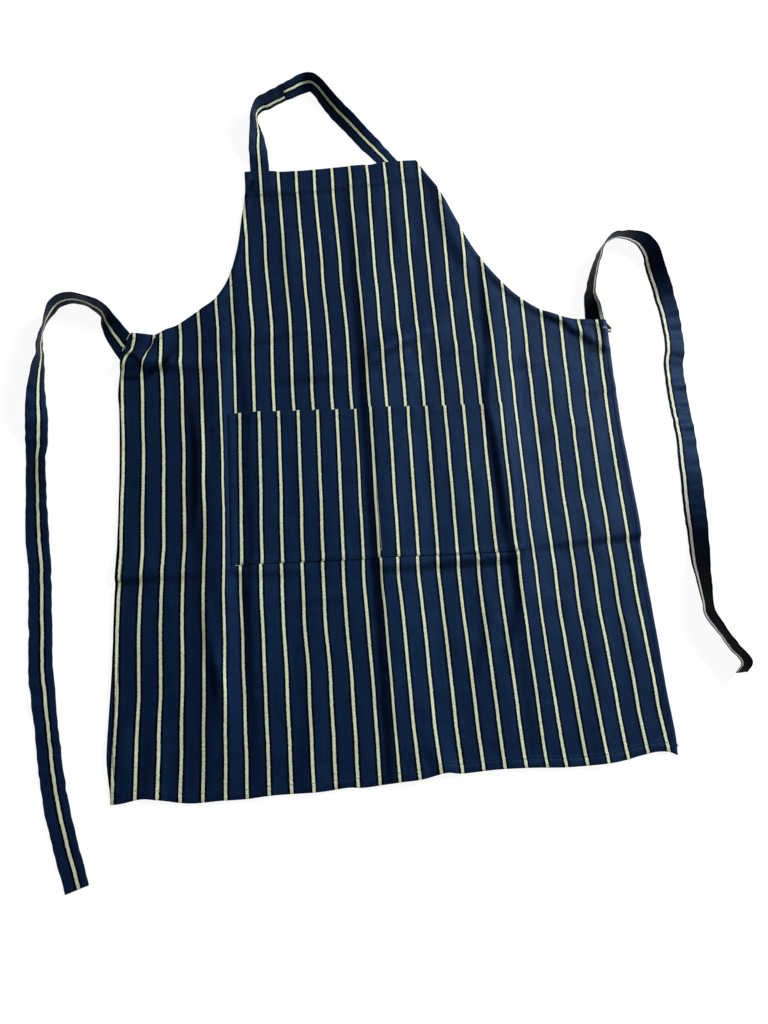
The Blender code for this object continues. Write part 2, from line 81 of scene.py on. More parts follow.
# The panel's outline, anticlockwise
LEFT_SIDE = metres([
    (-318, 606), (-329.5, 566), (-334.5, 520), (-332.5, 485), (-331, 400), (-332.5, 300), (-334.5, 230),
    (-336, 150), (-338.5, 100), (-340, 50), (-335.5, 12), (-335, 0),
])
BOTTOM = metres([
    (-335, 0), (-322, 0.5), (-300, 3.5), (-280, 0.8), (-245, -5.5), (-210, -5.5), (-180, -6),
    (-150, -4.5), (-120, -4.8), (-90, -5), (-60, -3), (-40, -4.5), (0, -2), (30, -0.5), (58, 4.5),
    (78, 2), (120, 3.2), (165, 1.8), (210, -1), (265, 0), (300, 5.5), (320, 8.2), (336, 6.8), (345, 2),
])
RIGHT_SIDE = metres([
    (345, 2), (346.5, 30), (345, 80), (344.5, 150), (344, 210), (343.5, 262), (346, 295), (346.5, 360),
    (345, 430), (346, 500), (347.5, 545), (347, 598),
])
RIGHT_SHOULDER = metres([(347, 598), (300, 604), (275, 612), (256, 620)])
RIGHT_ARMHOLE = metres([
    (256, 620), (232, 638), (205.5, 665.5), (182.5, 700.5), (162, 741), (146.5, 780), (128.5, 824),
    (114.5, 851), (98, 880.5),
])
BIB_TOP = metres([
    (98, 880.5), (60, 877), (30, 873.5), (0, 872.5), (-80, 865.5), (-120, 865), (-158, 864.8),
])
LEFT_ARMHOLE = metres([
    (-158, 864.8), (-158, 830), (-164, 790), (-171, 740), (-183, 695), (-202, 658), (-229, 637),
    (-255, 618),
])
LEFT_SHOULDER = metres([(-255, 618), (-270, 611), (-287, 603), (-318, 606)])
SIDE_HEM, BOTTOM_HEM, ARMHOLE_HEM = 0.008, 0.0115, 0.010
BIB_HEM = (0.034, 0.043)  # at its right and left ends
STITCH_INSET = 0.0015  # a hem's stitch line, back from the hem's inner edge
EDGES = [  # anticlockwise: name, outline, hem at its start and end
    ("left_side", LEFT_SIDE, SIDE_HEM, SIDE_HEM), ("bottom", BOTTOM, BOTTOM_HEM, BOTTOM_HEM),
    ("right_side", RIGHT_SIDE, SIDE_HEM, SIDE_HEM),
    ("right_shoulder", RIGHT_SHOULDER, ARMHOLE_HEM, ARMHOLE_HEM),
    ("right_armhole", RIGHT_ARMHOLE, ARMHOLE_HEM, ARMHOLE_HEM), ("bib_top", BIB_TOP, *BIB_HEM),
    ("left_armhole", LEFT_ARMHOLE, ARMHOLE_HEM, ARMHOLE_HEM),
    ("left_shoulder", LEFT_SHOULDER, ARMHOLE_HEM, ARMHOLE_HEM),
]

POCKET_CORNERS = metres([(-190, 273.5), (189, 269), (189, 476.5), (-190, 480.5)])
POCKET_HEM = 0.011
POCKET_TURNING = 0.008
POCKET_EASE = 0.0030  # how far its two mouths stand open
POCKET_GAP = 0.0002
TURNED = 1.6  # its turnings are pressed to this many thicknesses

# Where the strap and the ties run on under the panel: lowest x and y, highest x and y
ANCHORS = metres([
    (-152, 842, -120, 880), (42, 858, 80, 892), (-338, 566, -303, 612), (320, 578, 350, 612),
])
ANCHOR_RISE = 0.0019

# Box stitches that hold them
STRAP_TACKS = metres([
    [(-147, 848.5), (-147, 862), (-125, 862), (-125, 848.5)],
    [(52, 862), (50, 874), (71, 876), (73, 863)],
])
TIE_TACKS = metres([
    [(-321, 600), (-326.5, 572), (-309, 570), (-305, 594)],
    [(342.5, 590), (342.5, 553), (322, 555), (322, 592)],
])

TIE_TAIL = metres([(336, 582), (354.5, 582.5), (356, 588), (350, 597.5), (336, 598.5)])
SHOULDER_TACKS = [
    ("right_shoulder_bar_tack_stitches", metres([
        ((340, 586.6), (347.2, 585)), ((340.5, 585.2), (347.2, 583.6)), ((330, 550), (334.5, 548.2))])),
    ("left_shoulder_bar_tack_stitches", metres([
        ((-320.5, 604), (-324, 596)), ((-326.8, 587.5), (-329.5, 579.5))])),
]

# Strap and ties, as in the part and in its metres: (x, y, roll in degrees, width)
NECK_ROUTE = [
    (-0.136, 0.845, 0, 0.028), (-0.136, 0.860, 0, 0.028), (-0.136, 0.876, 4, 0.028),
    (-0.1365, 0.892, 14, 0.028),
    (-0.137, 0.908, 28, 0.028), (-0.138, 0.928, 45, 0.028), (-0.1395, 0.948, 64, 0.028),
    (-0.139, 0.964, 80, 0.028), (-0.133, 0.976, 85, 0.028), (-0.118, 0.985, 80, 0.028),
    (-0.100, 0.996, 77, 0.028), (-0.082, 1.007, 70, 0.028), (-0.066, 1.016, 62, 0.028),
    (-0.0535, 1.019, 62, 0.028), (-0.044, 1.011, 60, 0.028), (-0.033, 0.995, 48, 0.028),
    (-0.018, 0.973, 36, 0.028), (0.002, 0.947, 27, 0.028), (0.022, 0.921, 16, 0.028),
    (0.040, 0.899, 6, 0.028), (0.057, 0.877, 0, 0.028), (0.065, 0.865, 0, 0.028),
]
NECK_SEAM_X = -0.096
LEFT_TIE_ROUTE = [
    (-0.318, 0.577, 0, 0.036), (-0.328, 0.590, 0, 0.034), (-0.339, 0.606, 6, 0.030),
    (-0.349, 0.623, 35, 0.028), (-0.357, 0.639, 68, 0.028), (-0.3755, 0.6515, 88, 0.028),
    (-0.395, 0.658, 90, 0.028), (-0.411, 0.6555, 90, 0.028), (-0.4215, 0.6465, 92, 0.028),
    (-0.429, 0.6315, 98, 0.028), (-0.434, 0.612, 106, 0.028), (-0.436, 0.592, 97, 0.028),
    (-0.4355, 0.5725, 87, 0.028), (-0.4365, 0.553, 78, 0.028), (-0.438, 0.5335, 65, 0.028),
    (-0.4385, 0.515, 50, 0.028), (-0.438, 0.491, 33, 0.028), (-0.438, 0.463, 12, 0.028),
    (-0.438, 0.430, -14, 0.028), (-0.436, 0.395, -12, 0.028), (-0.434, 0.360, -6, 0.028),
    (-0.432, 0.322, 0, 0.029), (-0.427, 0.285, 0, 0.027), (-0.425, 0.240, 0, 0.028),
    (-0.4225, 0.195, 0, 0.028), (-0.420, 0.155, 0, 0.029), (-0.411, 0.090, 0, 0.027),
    (-0.402, 0.030, 0, 0.028), (-0.3875, -0.030, 0, 0.028), (-0.370, -0.0875, 0, 0.027),
]
RIGHT_TIE_ROUTE = [
    (0.334, 0.590, 180, 0.026), (0.3335, 0.603, 170, 0.026), (0.3305, 0.611, 144, 0.027),
    (0.3275, 0.6205, 118, 0.028), (0.3275, 0.637, 108, 0.028), (0.3345, 0.661, 103, 0.028),
    (0.344, 0.686, 98, 0.028), (0.3555, 0.7105, 95, 0.028), (0.3655, 0.724, 96, 0.028),
    (0.376, 0.7315, 100, 0.028), (0.3885, 0.7345, 103, 0.028), (0.403, 0.733, 98, 0.028),
    (0.418, 0.7255, 82, 0.028), (0.430, 0.708, 58, 0.028), (0.434, 0.684, 40, 0.028),
    (0.438, 0.656, 28, 0.028), (0.4435, 0.618, 14, 0.028), (0.4455, 0.580, 4, 0.028),
    (0.4435, 0.552, 4, 0.028), (0.4375, 0.528, 0, 0.028), (0.435, 0.500, 0, 0.028),
    (0.434, 0.460, 0, 0.028), (0.435, 0.420, 0, 0.028), (0.4315, 0.380, 6, 0.028),
    (0.4275, 0.340, 20, 0.028), (0.4235, 0.300, 32, 0.028), (0.418, 0.258, 54, 0.028),
    (0.4155, 0.218, 75, 0.028), (0.4145, 0.188, 87, 0.028), (0.4155, 0.170, 90, 0.028),
    (0.4255, 0.149, 90, 0.028), (0.438, 0.127, 90, 0.028), (0.448, 0.1125, 90, 0.028),
    (0.4495, 0.104, 90, 0.028), (0.441, 0.0945, 90, 0.028),
]
# Painted shade along the ribbons, where they turn away from the light or stand on edge in shadow, from
# their first end: share of the length, shade
NECK_FIRST_SHADE = [(0.0, 0.75), (0.45, 0.60), (0.55, 0.35), (0.65, 0.60), (0.94, 0.60), (1.0, 0.30)]
NECK_SECOND_SHADE = [(0.0, 0.30), (0.05, 0.70), (0.14, 0.70), (0.21, 0.30), (0.33, 0.40),
                     (0.50, 0.80), (1.0, 0.90)]
LEFT_TIE_SHADE = [(0.0, 0.80), (0.04, 0.55), (0.30, 0.50), (0.40, 0.85), (0.50, 1.0)]
RIGHT_TIE_SHADE = [(0.0, 0.16), (0.06, 0.20), (0.12, 0.50), (0.27, 0.50), (0.31, 1.0),
                   (0.415, 1.0), (0.427, 0.55), (0.436, 0.95), (0.446, 0.60), (0.458, 1.0),
                   (0.71, 1.0), (0.79, 0.35), (0.85, 0.12), (1.0, 0.06)]
# And how far its stripe is whitened by a painted highlight
RIGHT_TIE_STRIPE_HIGHLIGHT = [(0.0, 0.15), (0.03, 1.0), (0.27, 1.0), (0.33, 0.45), (0.42, 0.40), (0.46, 0.15),
                    (0.60, 0.30), (0.71, 0.60), (0.79, 0.85), (0.88, 0.90), (1.0, 0.40)]
RIGHT_ROOT_Y = 0.626  # up to here the right tie bends at its joint
RING_STEP = 0.002
CLOSING = 0.0025  # the closing seam, in from a ribbon's lower edge


# ---- curves

def smooth(points, step):
    """A Catmull-Rom curve through the points, sampled about every step along its x and y."""
    padded = [[2 * a - b for a, b in zip(points[0], points[1])], *points,
              [2 * a - b for a, b in zip(points[-1], points[-2])]]
    samples = []
    for before, start, end, after in zip(padded, padded[1:], padded[2:], padded[3:]):
        length = (Vector(end[:2]) - Vector(start[:2])).length
        count = max(1, round(length / step))
        for i in range(count):
            t = i / count
            samples.append(tuple(
                0.5 * (2 * b + (c - a) * t + (2 * a - 5 * b + 4 * c - d) * t * t
                       + (3 * b - a - 3 * c + d) * t ** 3)
                for a, b, c, d in zip(before, start, end, after)))
    return [*samples, tuple(points[-1])]


def eased(t):
    t = np.clip(t, 0.0, 1.0)
    return t * t * (3 - 2 * t)


def keyed(value, keys):
    """Read a list of (place, amount) pairs at a place."""
    return np.interp(value, [key[0] for key in keys], [key[1] for key in keys])


def inside(points, loop):
    """Which of the points (n, 2) lie inside a closed loop (m, 2)."""
    x, y = points[:, 0], points[:, 1]
    found = np.zeros(len(points), bool)
    for (x0, y0), (x1, y1) in zip(loop, np.roll(loop, -1, axis=0)):
        if y0 != y1:
            crosses = (y0 > y) != (y1 > y)
            found ^= crosses & (x < x0 + (y - y0) * (x1 - x0) / (y1 - y0))
    return found


def unit(rows):
    """Each row (n, 2) scaled to a length of one."""
    return rows / np.linalg.norm(rows, axis=1)[:, None]


def inset(loop, widths):
    """A closed loop (anticlockwise) moved inwards, each side by its own width."""
    loop, widths = np.asarray(loop), np.asarray(widths)
    along = unit(np.roll(loop, -1, axis=0) - loop)
    after = np.stack([-along[:, 1], along[:, 0]], 1)
    before, w_before = np.roll(after, 1, axis=0), np.roll(widths, 1)
    turn = before[:, 0] * after[:, 1] - before[:, 1] * after[:, 0]
    gentle = np.abs(turn) < 0.4
    middle = unit(before + after)
    safe = np.where(gentle, 1.0, turn)
    corner = np.stack([(w_before * after[:, 1] - widths * before[:, 1]) / safe,
                       (widths * before[:, 0] - w_before * after[:, 0]) / safe], 1)
    return loop + np.where(gentle[:, None], middle * ((w_before + widths) / 2)[:, None], corner)


def grain(x, y, scale, seed=0.0):
    """Smooth noise from about -1 to 1 at each point."""
    return np.array([noise.noise(Vector((a / scale, b / scale, seed))) for a, b in zip(x, y)])


# ---- how the cloth lies

# Ridges of the cloth, in millimetres: points (x, y, height), steep side's width, gentle side's width.
# The steep side is on the left of the way along.
PACKING_FOLDS = metres([
    # left: two ridges with a hollow between them
    ([(-198, 0, 0.6), (-200, 100, 3.5), (-203, 250, 4.5), (-202, 400, 4.5), (-200, 530, 4),
      (-197, 660, 2)], 42, 22),
    ([(-160, 0, 1), (-165, 160, 3), (-166, 240, 4.2), (-160, 300, 2.5), (-160, 480, 2.2),
      (-168, 560, 3), (-174, 660, 2.4), (-174, 740, 0.6)], 13, 50),
    # middle
    ([(-4, -10, 3.8), (-2.5, 40, 5.5), (-1, 200, 5.8), (-2, 400, 5.2), (-1, 520, 5.6), (1, 550, 6.2),
      (-1, 600, 4.6), (-2, 700, 4.2), (-3, 760, 2.4), (-4, 860, 1)], 12.5, 85),
    # right
    ([(174, 0, 0.5), (173, 100, 1.4), (176, 170, 2.6), (177.5, 210, 4.6), (174, 280, 4.4),
      (171, 330, 5), (168, 420, 5.2), (163, 475, 3.8), (176, 550, 3.4), (179.5, 600, 4), (180, 660, 3),
      (177, 700, 0.6)], 11.5, 60),
])
CREASES = metres([
    # across the skirt, level with the foot of the pocket
    ([(-210, 266, 1.2), (-270, 267, 2.6), (-336, 266, 5.2)], 7.5, 50),
    ([(-80, 262, 0), (-120, 262, 2.6), (-180, 263, 2.2)], 7.5, 20),
    ([(175, 262, 3.4), (140, 262, 4), (80, 262, 3.4), (40, 261, 2.4), (0, 260, 2.6)], 8, 20),
    ([(350, 282, 4), (290, 280, 3.4), (230, 276, 2.4), (175, 274, 1.2)], 7.5, 75),
    ([(-30, 224, 0), (-90, 224, 2), (-150, 222, 0)], 9, 18),
    # over and beside the pocket's mouth
    ([(-60, 606, 0.5), (-100, 600, 2.6), (-140, 590, 2.8), (-180, 576, 1.6)], 12, 22),
    ([(125, 603, 0), (90, 594, 3.6), (50, 579, 5.8), (25, 566, 5.6), (0, 548, 2)], 14, 24),
    ([(180, 566, 0), (140, 564, 3), (100, 560, 0.8)], 10, 20),
    ([(-20, 534, 0), (-70, 532, 3.6), (-120, 528, 0.6)], 11, 20),
    ([(85, 532, 0), (50, 532, 2.6), (20, 528, 0)], 9, 18),
    ([(270, 542, 0), (230, 538, 3), (190, 530, 0.6)], 10, 20),
    ([(345, 494, 2), (310, 492, 1.8), (270, 489, 0.4)], 9, 22),
    ([(-190, 549, 1), (-250, 555, 4.2), (-300, 559, 6.8), (-345, 559, 7.2)], 13, 22),
    ([(-272, 580, 0), (-300, 574, 2.4), (-335, 566, 2)], 7, 10),
    ([(340, 455, 0), (280, 440, 1.8), (220, 400, 0.6)], 12, 26),
    ([(200, 660, 0), (120, 630, 2.2), (50, 610, 0)], 14, 26),
    # at the shoulders
    ([(-296, 552, 1.6), (-284, 588, 2.6), (-278, 608, 2.2)], 8, 20),
    ([(-275, 545, 0), (-268, 562, 2.2), (-260, 585, 1)], 10, 24),
    ([(345, 552, 2), (318, 572, 3.6), (296, 590, 3.6), (266, 612, 2.4)], 8, 16),
    ([(336, 530, 0), (342, 570, 3.8), (344, 604, 3.4)], 12, 10),
    # down the bib
    ([(160, 690, 1), (150, 720, 4), (133, 770, 4.2), (127, 820, 3.4), (122, 850, 1)], 18, 22),
    ([(-30, 815, 0), (-70, 817, 2.6), (-120, 820, 2), (-157, 822, 1.2)], 9, 34),
    ([(75, 700, 0), (60, 760, 2), (55, 830, 0)], 16, 30),
    ([(-95, 640, 0), (-100, 720, 2), (-98, 800, 0)], 16, 30),
    # down the skirt
    ([(-246, 300, 0), (-230, 360, 3), (-228, 430, 4), (-238, 500, 1.6), (-240, 560, 0)], 10, 14),
    ([(-232, 270, 0), (-222, 200, 1.6), (-208, 130, 4), (-206, 90, 0)][::-1], 11, 14),
    ([(-290, -5, 3), (-286, 50, 2), (-282, 120, 0)], 14, 26),
    ([(-325, -5, 0), (-323, 50, 2.6), (-318, 120, 0)], 12, 20),
    ([(56, -5, 4), (50, 30, 2.2), (44, 90, 0)], 16, 26),
    ([(142, 110, 0), (166, 170, 2.6), (172, 210, 1)], 11, 18),
    ([(104, 90, 0), (126, 150, 2.8), (138, 220, 0)], 12, 18),
    ([(250, -5, 2.6), (262, 100, 1.6), (268, 220, 0.6)], 16, 30),
    ([(308, 80, 0), (312, 160, 1.8), (310, 260, 0.6)], 15, 26),
    ([(-105, -5, 2.4), (-100, 80, 1.2), (-98, 180, 0)], 15, 28),
])

# Painted shade along the creases, where their steep sides and hollows fall in shadow: points (x, y,
# darkness) and the width to each side, in millimetres
PAINTED_CREASE_SHADE = painted_shade_lines([
    # left shoulder
    ([(-330, 577, 0.5), (-323.6, 573.1, 0.95), (-312, 566, 0.95), (-304, 557, 0.6)], 6, 6),
    ([(-334, 541, 0.8), (-322, 538.5, 0.92), (-308, 539.5, 0.6)], 7, 6),
    ([(-299, 541, 0.4), (-290, 547, 0.95), (-280, 555, 0.4)], 8.5, 6.5),
    ([(-284, 604, 0.7), (-292, 587, 0.92), (-299, 570, 0.7)], 5, 5),
    ([(-263, 578, 0.4), (-270, 562, 0.9), (-275, 545, 0.5)], 7.5, 6.5),
    ([(-256, 584, 0.6), (-256, 560, 0.3)], 6, 6),
    # left fold
    ([(-232, 290, 0.2), (-236, 350, 0.45), (-237, 420, 0.5), (-232, 500, 0.2)], 13, 13),
    ([(-216, 80, 0.1), (-214, 130, 0.45), (-217, 185, 0.1)], 11, 11),
    ([(-171, 10, 0.2), (-172, 240, 0.35)], 6, 6),
    # hems
    ([(-158, 823, 0.5), (-100, 823.5, 0.45), (-30, 829, 0.35), (30, 836, 0.3), (110, 846, 0.3)], 6, 5),
    ([(176, 695, 0.2), (199, 659, 0.5), (228, 632, 0.5), (256, 611, 0.5), (288, 597, 0.45)], 7, 7),
    ([(288, 596, 0.5), (304, 574, 0.6), (320, 553, 0.6), (334, 546, 0.3)], 6, 6),
    ([(331, 600, 0.6), (329, 575, 0.8), (330, 552, 0.6)], 3.5, 3.5),
    # right fold
    ([(160, 285, 0.3), (163, 330, 0.45), (163, 420, 0.45), (159, 470, 0.2)], 8, 8),
    ([(170, 570, 0.3), (174, 620, 0.4), (174, 700, 0.15)], 7, 7),
    ([(168, 190, 0.35), (172, 255, 0.5)], 6, 6),
    # across
    ([(-336, 257, 0.5), (-290, 259, 0.3), (-240, 260, 0.15)], 8, 6),
    ([(0, 252, 0.4), (90, 253, 0.35), (165, 255, 0.35)], 6, 6),
    ([(0, 530, 0.2), (14, 543, 0.5), (35, 560, 0.45), (85, 582, 0.25)], 9, 7),
    ([(-180, 570, 0.1), (-130, 588, 0.3), (-80, 597, 0.1)], 9, 9),
    ([(-130, 521, 0.1), (-70, 525, 0.3), (-20, 527, 0.1)], 8, 8),
])

# Where the cloth is rumpled besides, in millimetres: x, y, half sizes across and up, depth
RUMPLED = metres([
    (-302, 566, 36, 26, 2.6), (-228, 340, 20, 200, 1.6), (-215, 130, 18, 70, 1.6),
    (325, 575, 30, 30, 2), (185, 420, 20, 100, 1), (140, 150, 30, 60, 1), (0, 545, 30, 30, 1.2),
    (60, 580, 60, 20, 1),
])


def segment_field(x, y, points):
    """For each place: its signed distance from a polyline, left positive, and the height key there."""
    best = np.full(len(x), 1e9)
    side, height = np.zeros(len(x)), np.zeros(len(x))
    for (x0, y0, h0), (x1, y1, h1) in zip(points, points[1:]):
        dx, dy = x1 - x0, y1 - y0
        raw = ((x - x0) * dx + (y - y0) * dy) / (dx * dx + dy * dy)
        t = np.clip(raw, 0, 1)
        ox, oy = x - (x0 + t * dx), y - (y0 + t * dy)
        far = np.hypot(ox, oy)
        nearer = far < best
        best = np.where(nearer, far, best)
        side = np.where(nearer, np.sign(dx * oy - dy * ox) * far, side)
        height = np.where(nearer, h0 + t * (h1 - h0), height)
    return side, height


def ridges(x, y, table):
    """The height that a table of ridges adds: a round crest, a steep side and a long gentle one."""
    total = np.zeros(len(x))
    for points, steep, gentle in table:
        side, height = segment_field(x, y, points)
        part = np.where(side > 0, side / steep, -side / gentle)
        total += height * (1 - eased(np.abs(part))) * eased(2.2 * (1.1 - np.abs(part)))
    return total


def anchor_rise(x, y, edge=0.016):
    total = np.zeros(len(x))
    for x0, y0, x1, y1 in ANCHORS:
        over = [(x - x0 + edge) / edge, (x1 + edge - x) / edge,
                (y - y0 + edge) / edge, (y1 + edge - y) / edge]
        total = np.maximum(total, ANCHOR_RISE * np.prod([eased(part) for part in over], axis=0))
    return total


def lie(x, y):
    """How high the panel's underside stands off the table at each place."""
    x, y = np.asarray(x, float), np.asarray(y, float)
    slow = 0.0009 * (1 + grain(x * 1.4, y * 0.8, 0.10, 3.0))
    lumps = 0.00080 * (1 + grain(x * 1.2, y * 0.8, 0.030, 7.0))
    fine = 0.00040 * (1 + grain(x, y * 0.8, 0.012, 11.0))
    depth = sum(amount * np.exp(-((x - x0) / across) ** 2 - ((y - y0) / up) ** 2)
                for x0, y0, across, up, amount in RUMPLED)
    rumple = depth * 0.5 * (1 + grain(x * 1.3, y * 0.8, 0.015, 15.0))
    return (ridges(x, y, PACKING_FOLDS) + ridges(x, y, CREASES) + anchor_rise(x, y)
            + slow + lumps + fine + rumple)


def panel_top(x, y, hem):
    """The top of the panel, on a hem or between hems."""
    return lie(x, y) + (HEM if hem else HEM_DROP + CLOTH)


# How the stripes wander up the cloth: the centre line's drift, how much they spread per metre, and the
# cloth that each fold takes up (its x, its half width, and the amount at each y)
CENTRE_DRIFT = metres([
    (0, 1.8), (60, 0.7), (120, 0.3), (240, -2), (270, -1.4), (510, -0.6), (600, -0.4), (690, -2),
    (870, -3.4),
])
GROWTH = [(0.0, 0.025), (0.60, 0.025), (0.70, 0.032), (0.82, 0.037), (0.88, 0.041)]
TAKE_UPS = metres([
    (-191, 16, [(0, 1), (120, 4), (240, 6), (300, 9), (460, 9.5), (510, 7.8), (560, 6), (660, 4.8)]),
    (0, 22, [(0, 4), (60, 6.5), (240, 8), (510, 3.8), (600, 5), (700, 3.5), (820, 0)]),
    (190, 14, [(0, 3), (120, 5), (180, 6), (240, 4.6), (280, 6), (460, 5.5), (540, 4), (580, 1.8),
      (620, 1.2)]),
])
PLEAT = [(-0.303, 0.553), (-0.281, 0.606)]  # a tuck at the left shoulder
PLEAT_DEPTH = 0.0165


def panel_stripes(x, y):
    """The woven pattern's own x at each place of the panel."""
    drift = keyed(y, CENTRE_DRIFT) + keyed(y, GROWTH) * x
    for place, half, keys in TAKE_UPS:
        step = eased((x - place + half) / (2 * half)) - eased((half - place) / (2 * half))
        drift -= keyed(y, keys) * step
    pleat_x = PLEAT[0][0] + (y - PLEAT[0][1]) * (PLEAT[1][0] - PLEAT[0][0]) / (PLEAT[1][1] - PLEAT[0][1])
    drift += PLEAT_DEPTH * eased((y - 0.535) / 0.065) * (1 - eased((x - pleat_x + 0.002) / 0.004))
    drift += 0.0011 * grain(x * 0.6, y, 0.055, 21.0)
    return x - drift


def pocket_stripes(x, y):
    rise = (y - 0.300) / 0.150
    left = 0.0035 + 0.0027 * rise + (0.016 + 0.005 * rise) * x
    right = -0.0028 + 0.0027 * rise + 0.006 * x
    wander = 0.0008 * grain(x * 0.6, y, 0.055, 25.0)
    return x - (left + (right - left) * eased((x + 0.024) / 0.024)) - wander


# ---- materials

class Nodes:
    """A small helper that adds nodes to a material and links them."""

    def __init__(self, name):
        self.material = bpy.data.materials.new(name)
        self.material.use_nodes = True
        self.tree = self.material.node_tree
        self.shader = self.tree.nodes["Principled BSDF"]

    def add(self, kind, **settings):
        node = self.tree.nodes.new(kind)
        for key, value in settings.items():
            setattr(node, key, value)
        return node

    def link(self, value, socket):
        if isinstance(value, bpy.types.NodeSocket):
            self.tree.links.new(value, socket)
        else:
            socket.default_value = value

    def math(self, operation, a, b=0.0):
        node = self.add("ShaderNodeMath", operation=operation)
        for value, socket in zip((a, b), node.inputs):
            self.link(value, socket)
        return node.outputs[0]

    def weighted(self, *parts):
        """The sum of (value, weight) parts."""
        products = [self.math("MULTIPLY", value, weight) for value, weight in parts]
        total = products[0]
        for product in products[1:]:
            total = self.math("ADD", total, product)
        return total

    def attribute(self, name):
        """A number that each point of the mesh carries."""
        return self.add("ShaderNodeAttribute", attribute_name=name).outputs["Fac"]

    def ramp(self, value, low, high, start=0.0, end=1.0):
        """A soft step from start to end as value goes from low to high."""
        node = self.add("ShaderNodeMapRange", interpolation_type="SMOOTHSTEP")
        for item, socket in zip((value, low, high, start, end), node.inputs):
            self.link(item, socket)
        return node.outputs[0]

    def mix(self, factor, a, b):
        node = self.add("ShaderNodeMix", data_type="RGBA")
        self.link(factor, node.inputs["Factor"])
        for value, socket in ((a, node.inputs[6]), (b, node.inputs[7])):
            self.link(value, socket)
        return node.outputs[2]

    def noise(self, vector, scale, detail=2.0, roughness=0.5):
        node = self.add("ShaderNodeTexNoise")
        self.link(vector, node.inputs["Vector"])
        self.link(scale, node.inputs["Scale"])
        self.link(detail, node.inputs["Detail"])
        self.link(roughness, node.inputs["Roughness"])
        return node.outputs["Fac"]

    def vector(self, x, y):
        node = self.add("ShaderNodeCombineXYZ")
        for value, socket in zip((x, y), node.inputs):
            self.link(value, socket)
        return node.outputs[0]

    def streaks(self, u, v, across, along, detail=2.0):
        """Noise over the cloth, with its own fineness across and along."""
        place = self.vector(self.math("MULTIPLY", u, across), self.math("MULTIPLY", v, along))
        return self.noise(place, 1.0, detail)

    def bump(self, height, strength, distance):
        node = self.add("ShaderNodeBump")
        node.inputs["Strength"].default_value = strength
        node.inputs["Distance"].default_value = distance
        self.link(height, node.inputs["Height"])
        self.link(node.outputs[0], self.shader.inputs["Normal"])

    def uniform(self, **values):
        """Values that are the same all over, set on the shader itself."""
        for key, value in values.items():
            self.shader.inputs[key.replace("_", " ").title().replace("Ior", "IOR")].default_value = value


STRIPE_HALF = 0.00175  # of the cream stripe, and of the dark yarns beside it
BORDER_HALF = 0.00425
TWILL_PITCH = 0.0011  # from one slanting rib to the next
RIB_PITCH = 0.0007
STRIPE_SOFT = 0.00015  # the stripe's edge fades this far to each side
BLACK = (0.0, 0.0, 0.0, 1.0)
WHITE = (1.0, 1.0, 1.0, 1.0)
NAVY_DARK = (0.0026, 0.0078, 0.0265, 1.0)
NAVY_LIGHT = (0.0054, 0.0150, 0.0490, 1.0)
BORDER = (0.0002, 0.0004, 0.0010, 1.0)
CREAM_DARK = (0.430, 0.465, 0.285, 1.0)
CREAM_LIGHT = (0.850, 0.915, 0.690, 1.0)
# The white of the stripes' painted highlight
HIGHLIGHT_WHITE = (0.950, 0.950, 0.860, 1.0)


def striped_twill(name):
    """Navy twill with cream woven stripes. UVs are the cloth's own metres, stripes at each PITCH.

    The mesh's shade attribute paints shade on it, and a second attribute paints a highlight on the
    stripes, whitening them.
    """
    n = Nodes(name)
    uv = n.add("ShaderNodeUVMap", uv_map="cloth").outputs[0]
    split = n.add("ShaderNodeSeparateXYZ")
    n.link(uv, split.inputs[0])
    u, v = split.outputs[0], split.outputs[1]

    wobble = n.math("MULTIPLY", n.math("SUBTRACT", n.streaks(u, v, 300.0, 420.0), 0.5), 0.0016)
    whole = n.math("DIVIDE", u, PITCH)
    part = n.math("SUBTRACT", whole, n.math("ROUND", whole))
    away = n.math("ADD", n.math("ABSOLUTE", n.math("MULTIPLY", part, PITCH)), wobble)
    stripe = n.ramp(away, STRIPE_HALF - STRIPE_SOFT, STRIPE_HALF + STRIPE_SOFT, 1.0, 0.0)
    border = n.ramp(away, BORDER_HALF - 0.0003, BORDER_HALF + 0.0004, 1.0, 0.0)

    slant = n.math("ADD", u, n.math("MULTIPLY", v, 0.7))
    twill = n.math("SINE", n.math("MULTIPLY", slant, 2 * pi / TWILL_PITCH))
    streaks = n.streaks(u, v, 420.0, 9.0, 3.0)
    patches = n.noise(n.vector(u, v), 75.0, 4.0, 0.65)
    shade = n.weighted((streaks, 0.45), (patches, 0.55), (twill, 0.08))
    navy = n.mix(n.ramp(shade, 0.25, 0.75), NAVY_DARK, NAVY_LIGHT)
    navy = n.mix(border, navy, BORDER)
    gloss = n.ramp(border, 0.0, 1.0, 0.27, 0.09)

    weft = n.streaks(u, v, 260.0, 1500.0)
    tufts = n.noise(n.vector(u, v), 420.0)
    tone = n.weighted((weft, 0.6), (tufts, 0.5))
    pale = n.mix(n.ramp(tone, 0.25, 0.80), CREAM_DARK, CREAM_LIGHT)
    # Painted shade from the mesh's shade attribute darkens the navy, the cream and the gloss; a painted
    # highlight whitens the stripes
    painted_shade = n.attribute("shade")
    navy = n.mix(painted_shade, BLACK, navy)
    pale = n.mix(n.math("POWER", painted_shade, 0.45), BLACK, pale)
    pale = n.mix(n.attribute("stripe_highlight"), pale, HIGHLIGHT_WHITE)
    n.link(n.mix(stripe, navy, pale), n.shader.inputs["Base Color"])
    n.link(n.math("MULTIPLY", gloss, painted_shade), n.shader.inputs["Specular IOR Level"])

    rib = n.math("SINE", n.math("MULTIPLY", u, 2 * pi / RIB_PITCH))
    n.bump(n.weighted((twill, 0.5), (rib, 0.2), (weft, 0.8), (stripe, 0.9)), 0.35, 0.00022)
    n.link(n.ramp(tufts, 0.3, 0.7, 0.52, 0.66), n.shader.inputs["Roughness"])
    n.uniform(specular_tint=(0.06, 0.38, 1.0, 1.0))
    return n.material


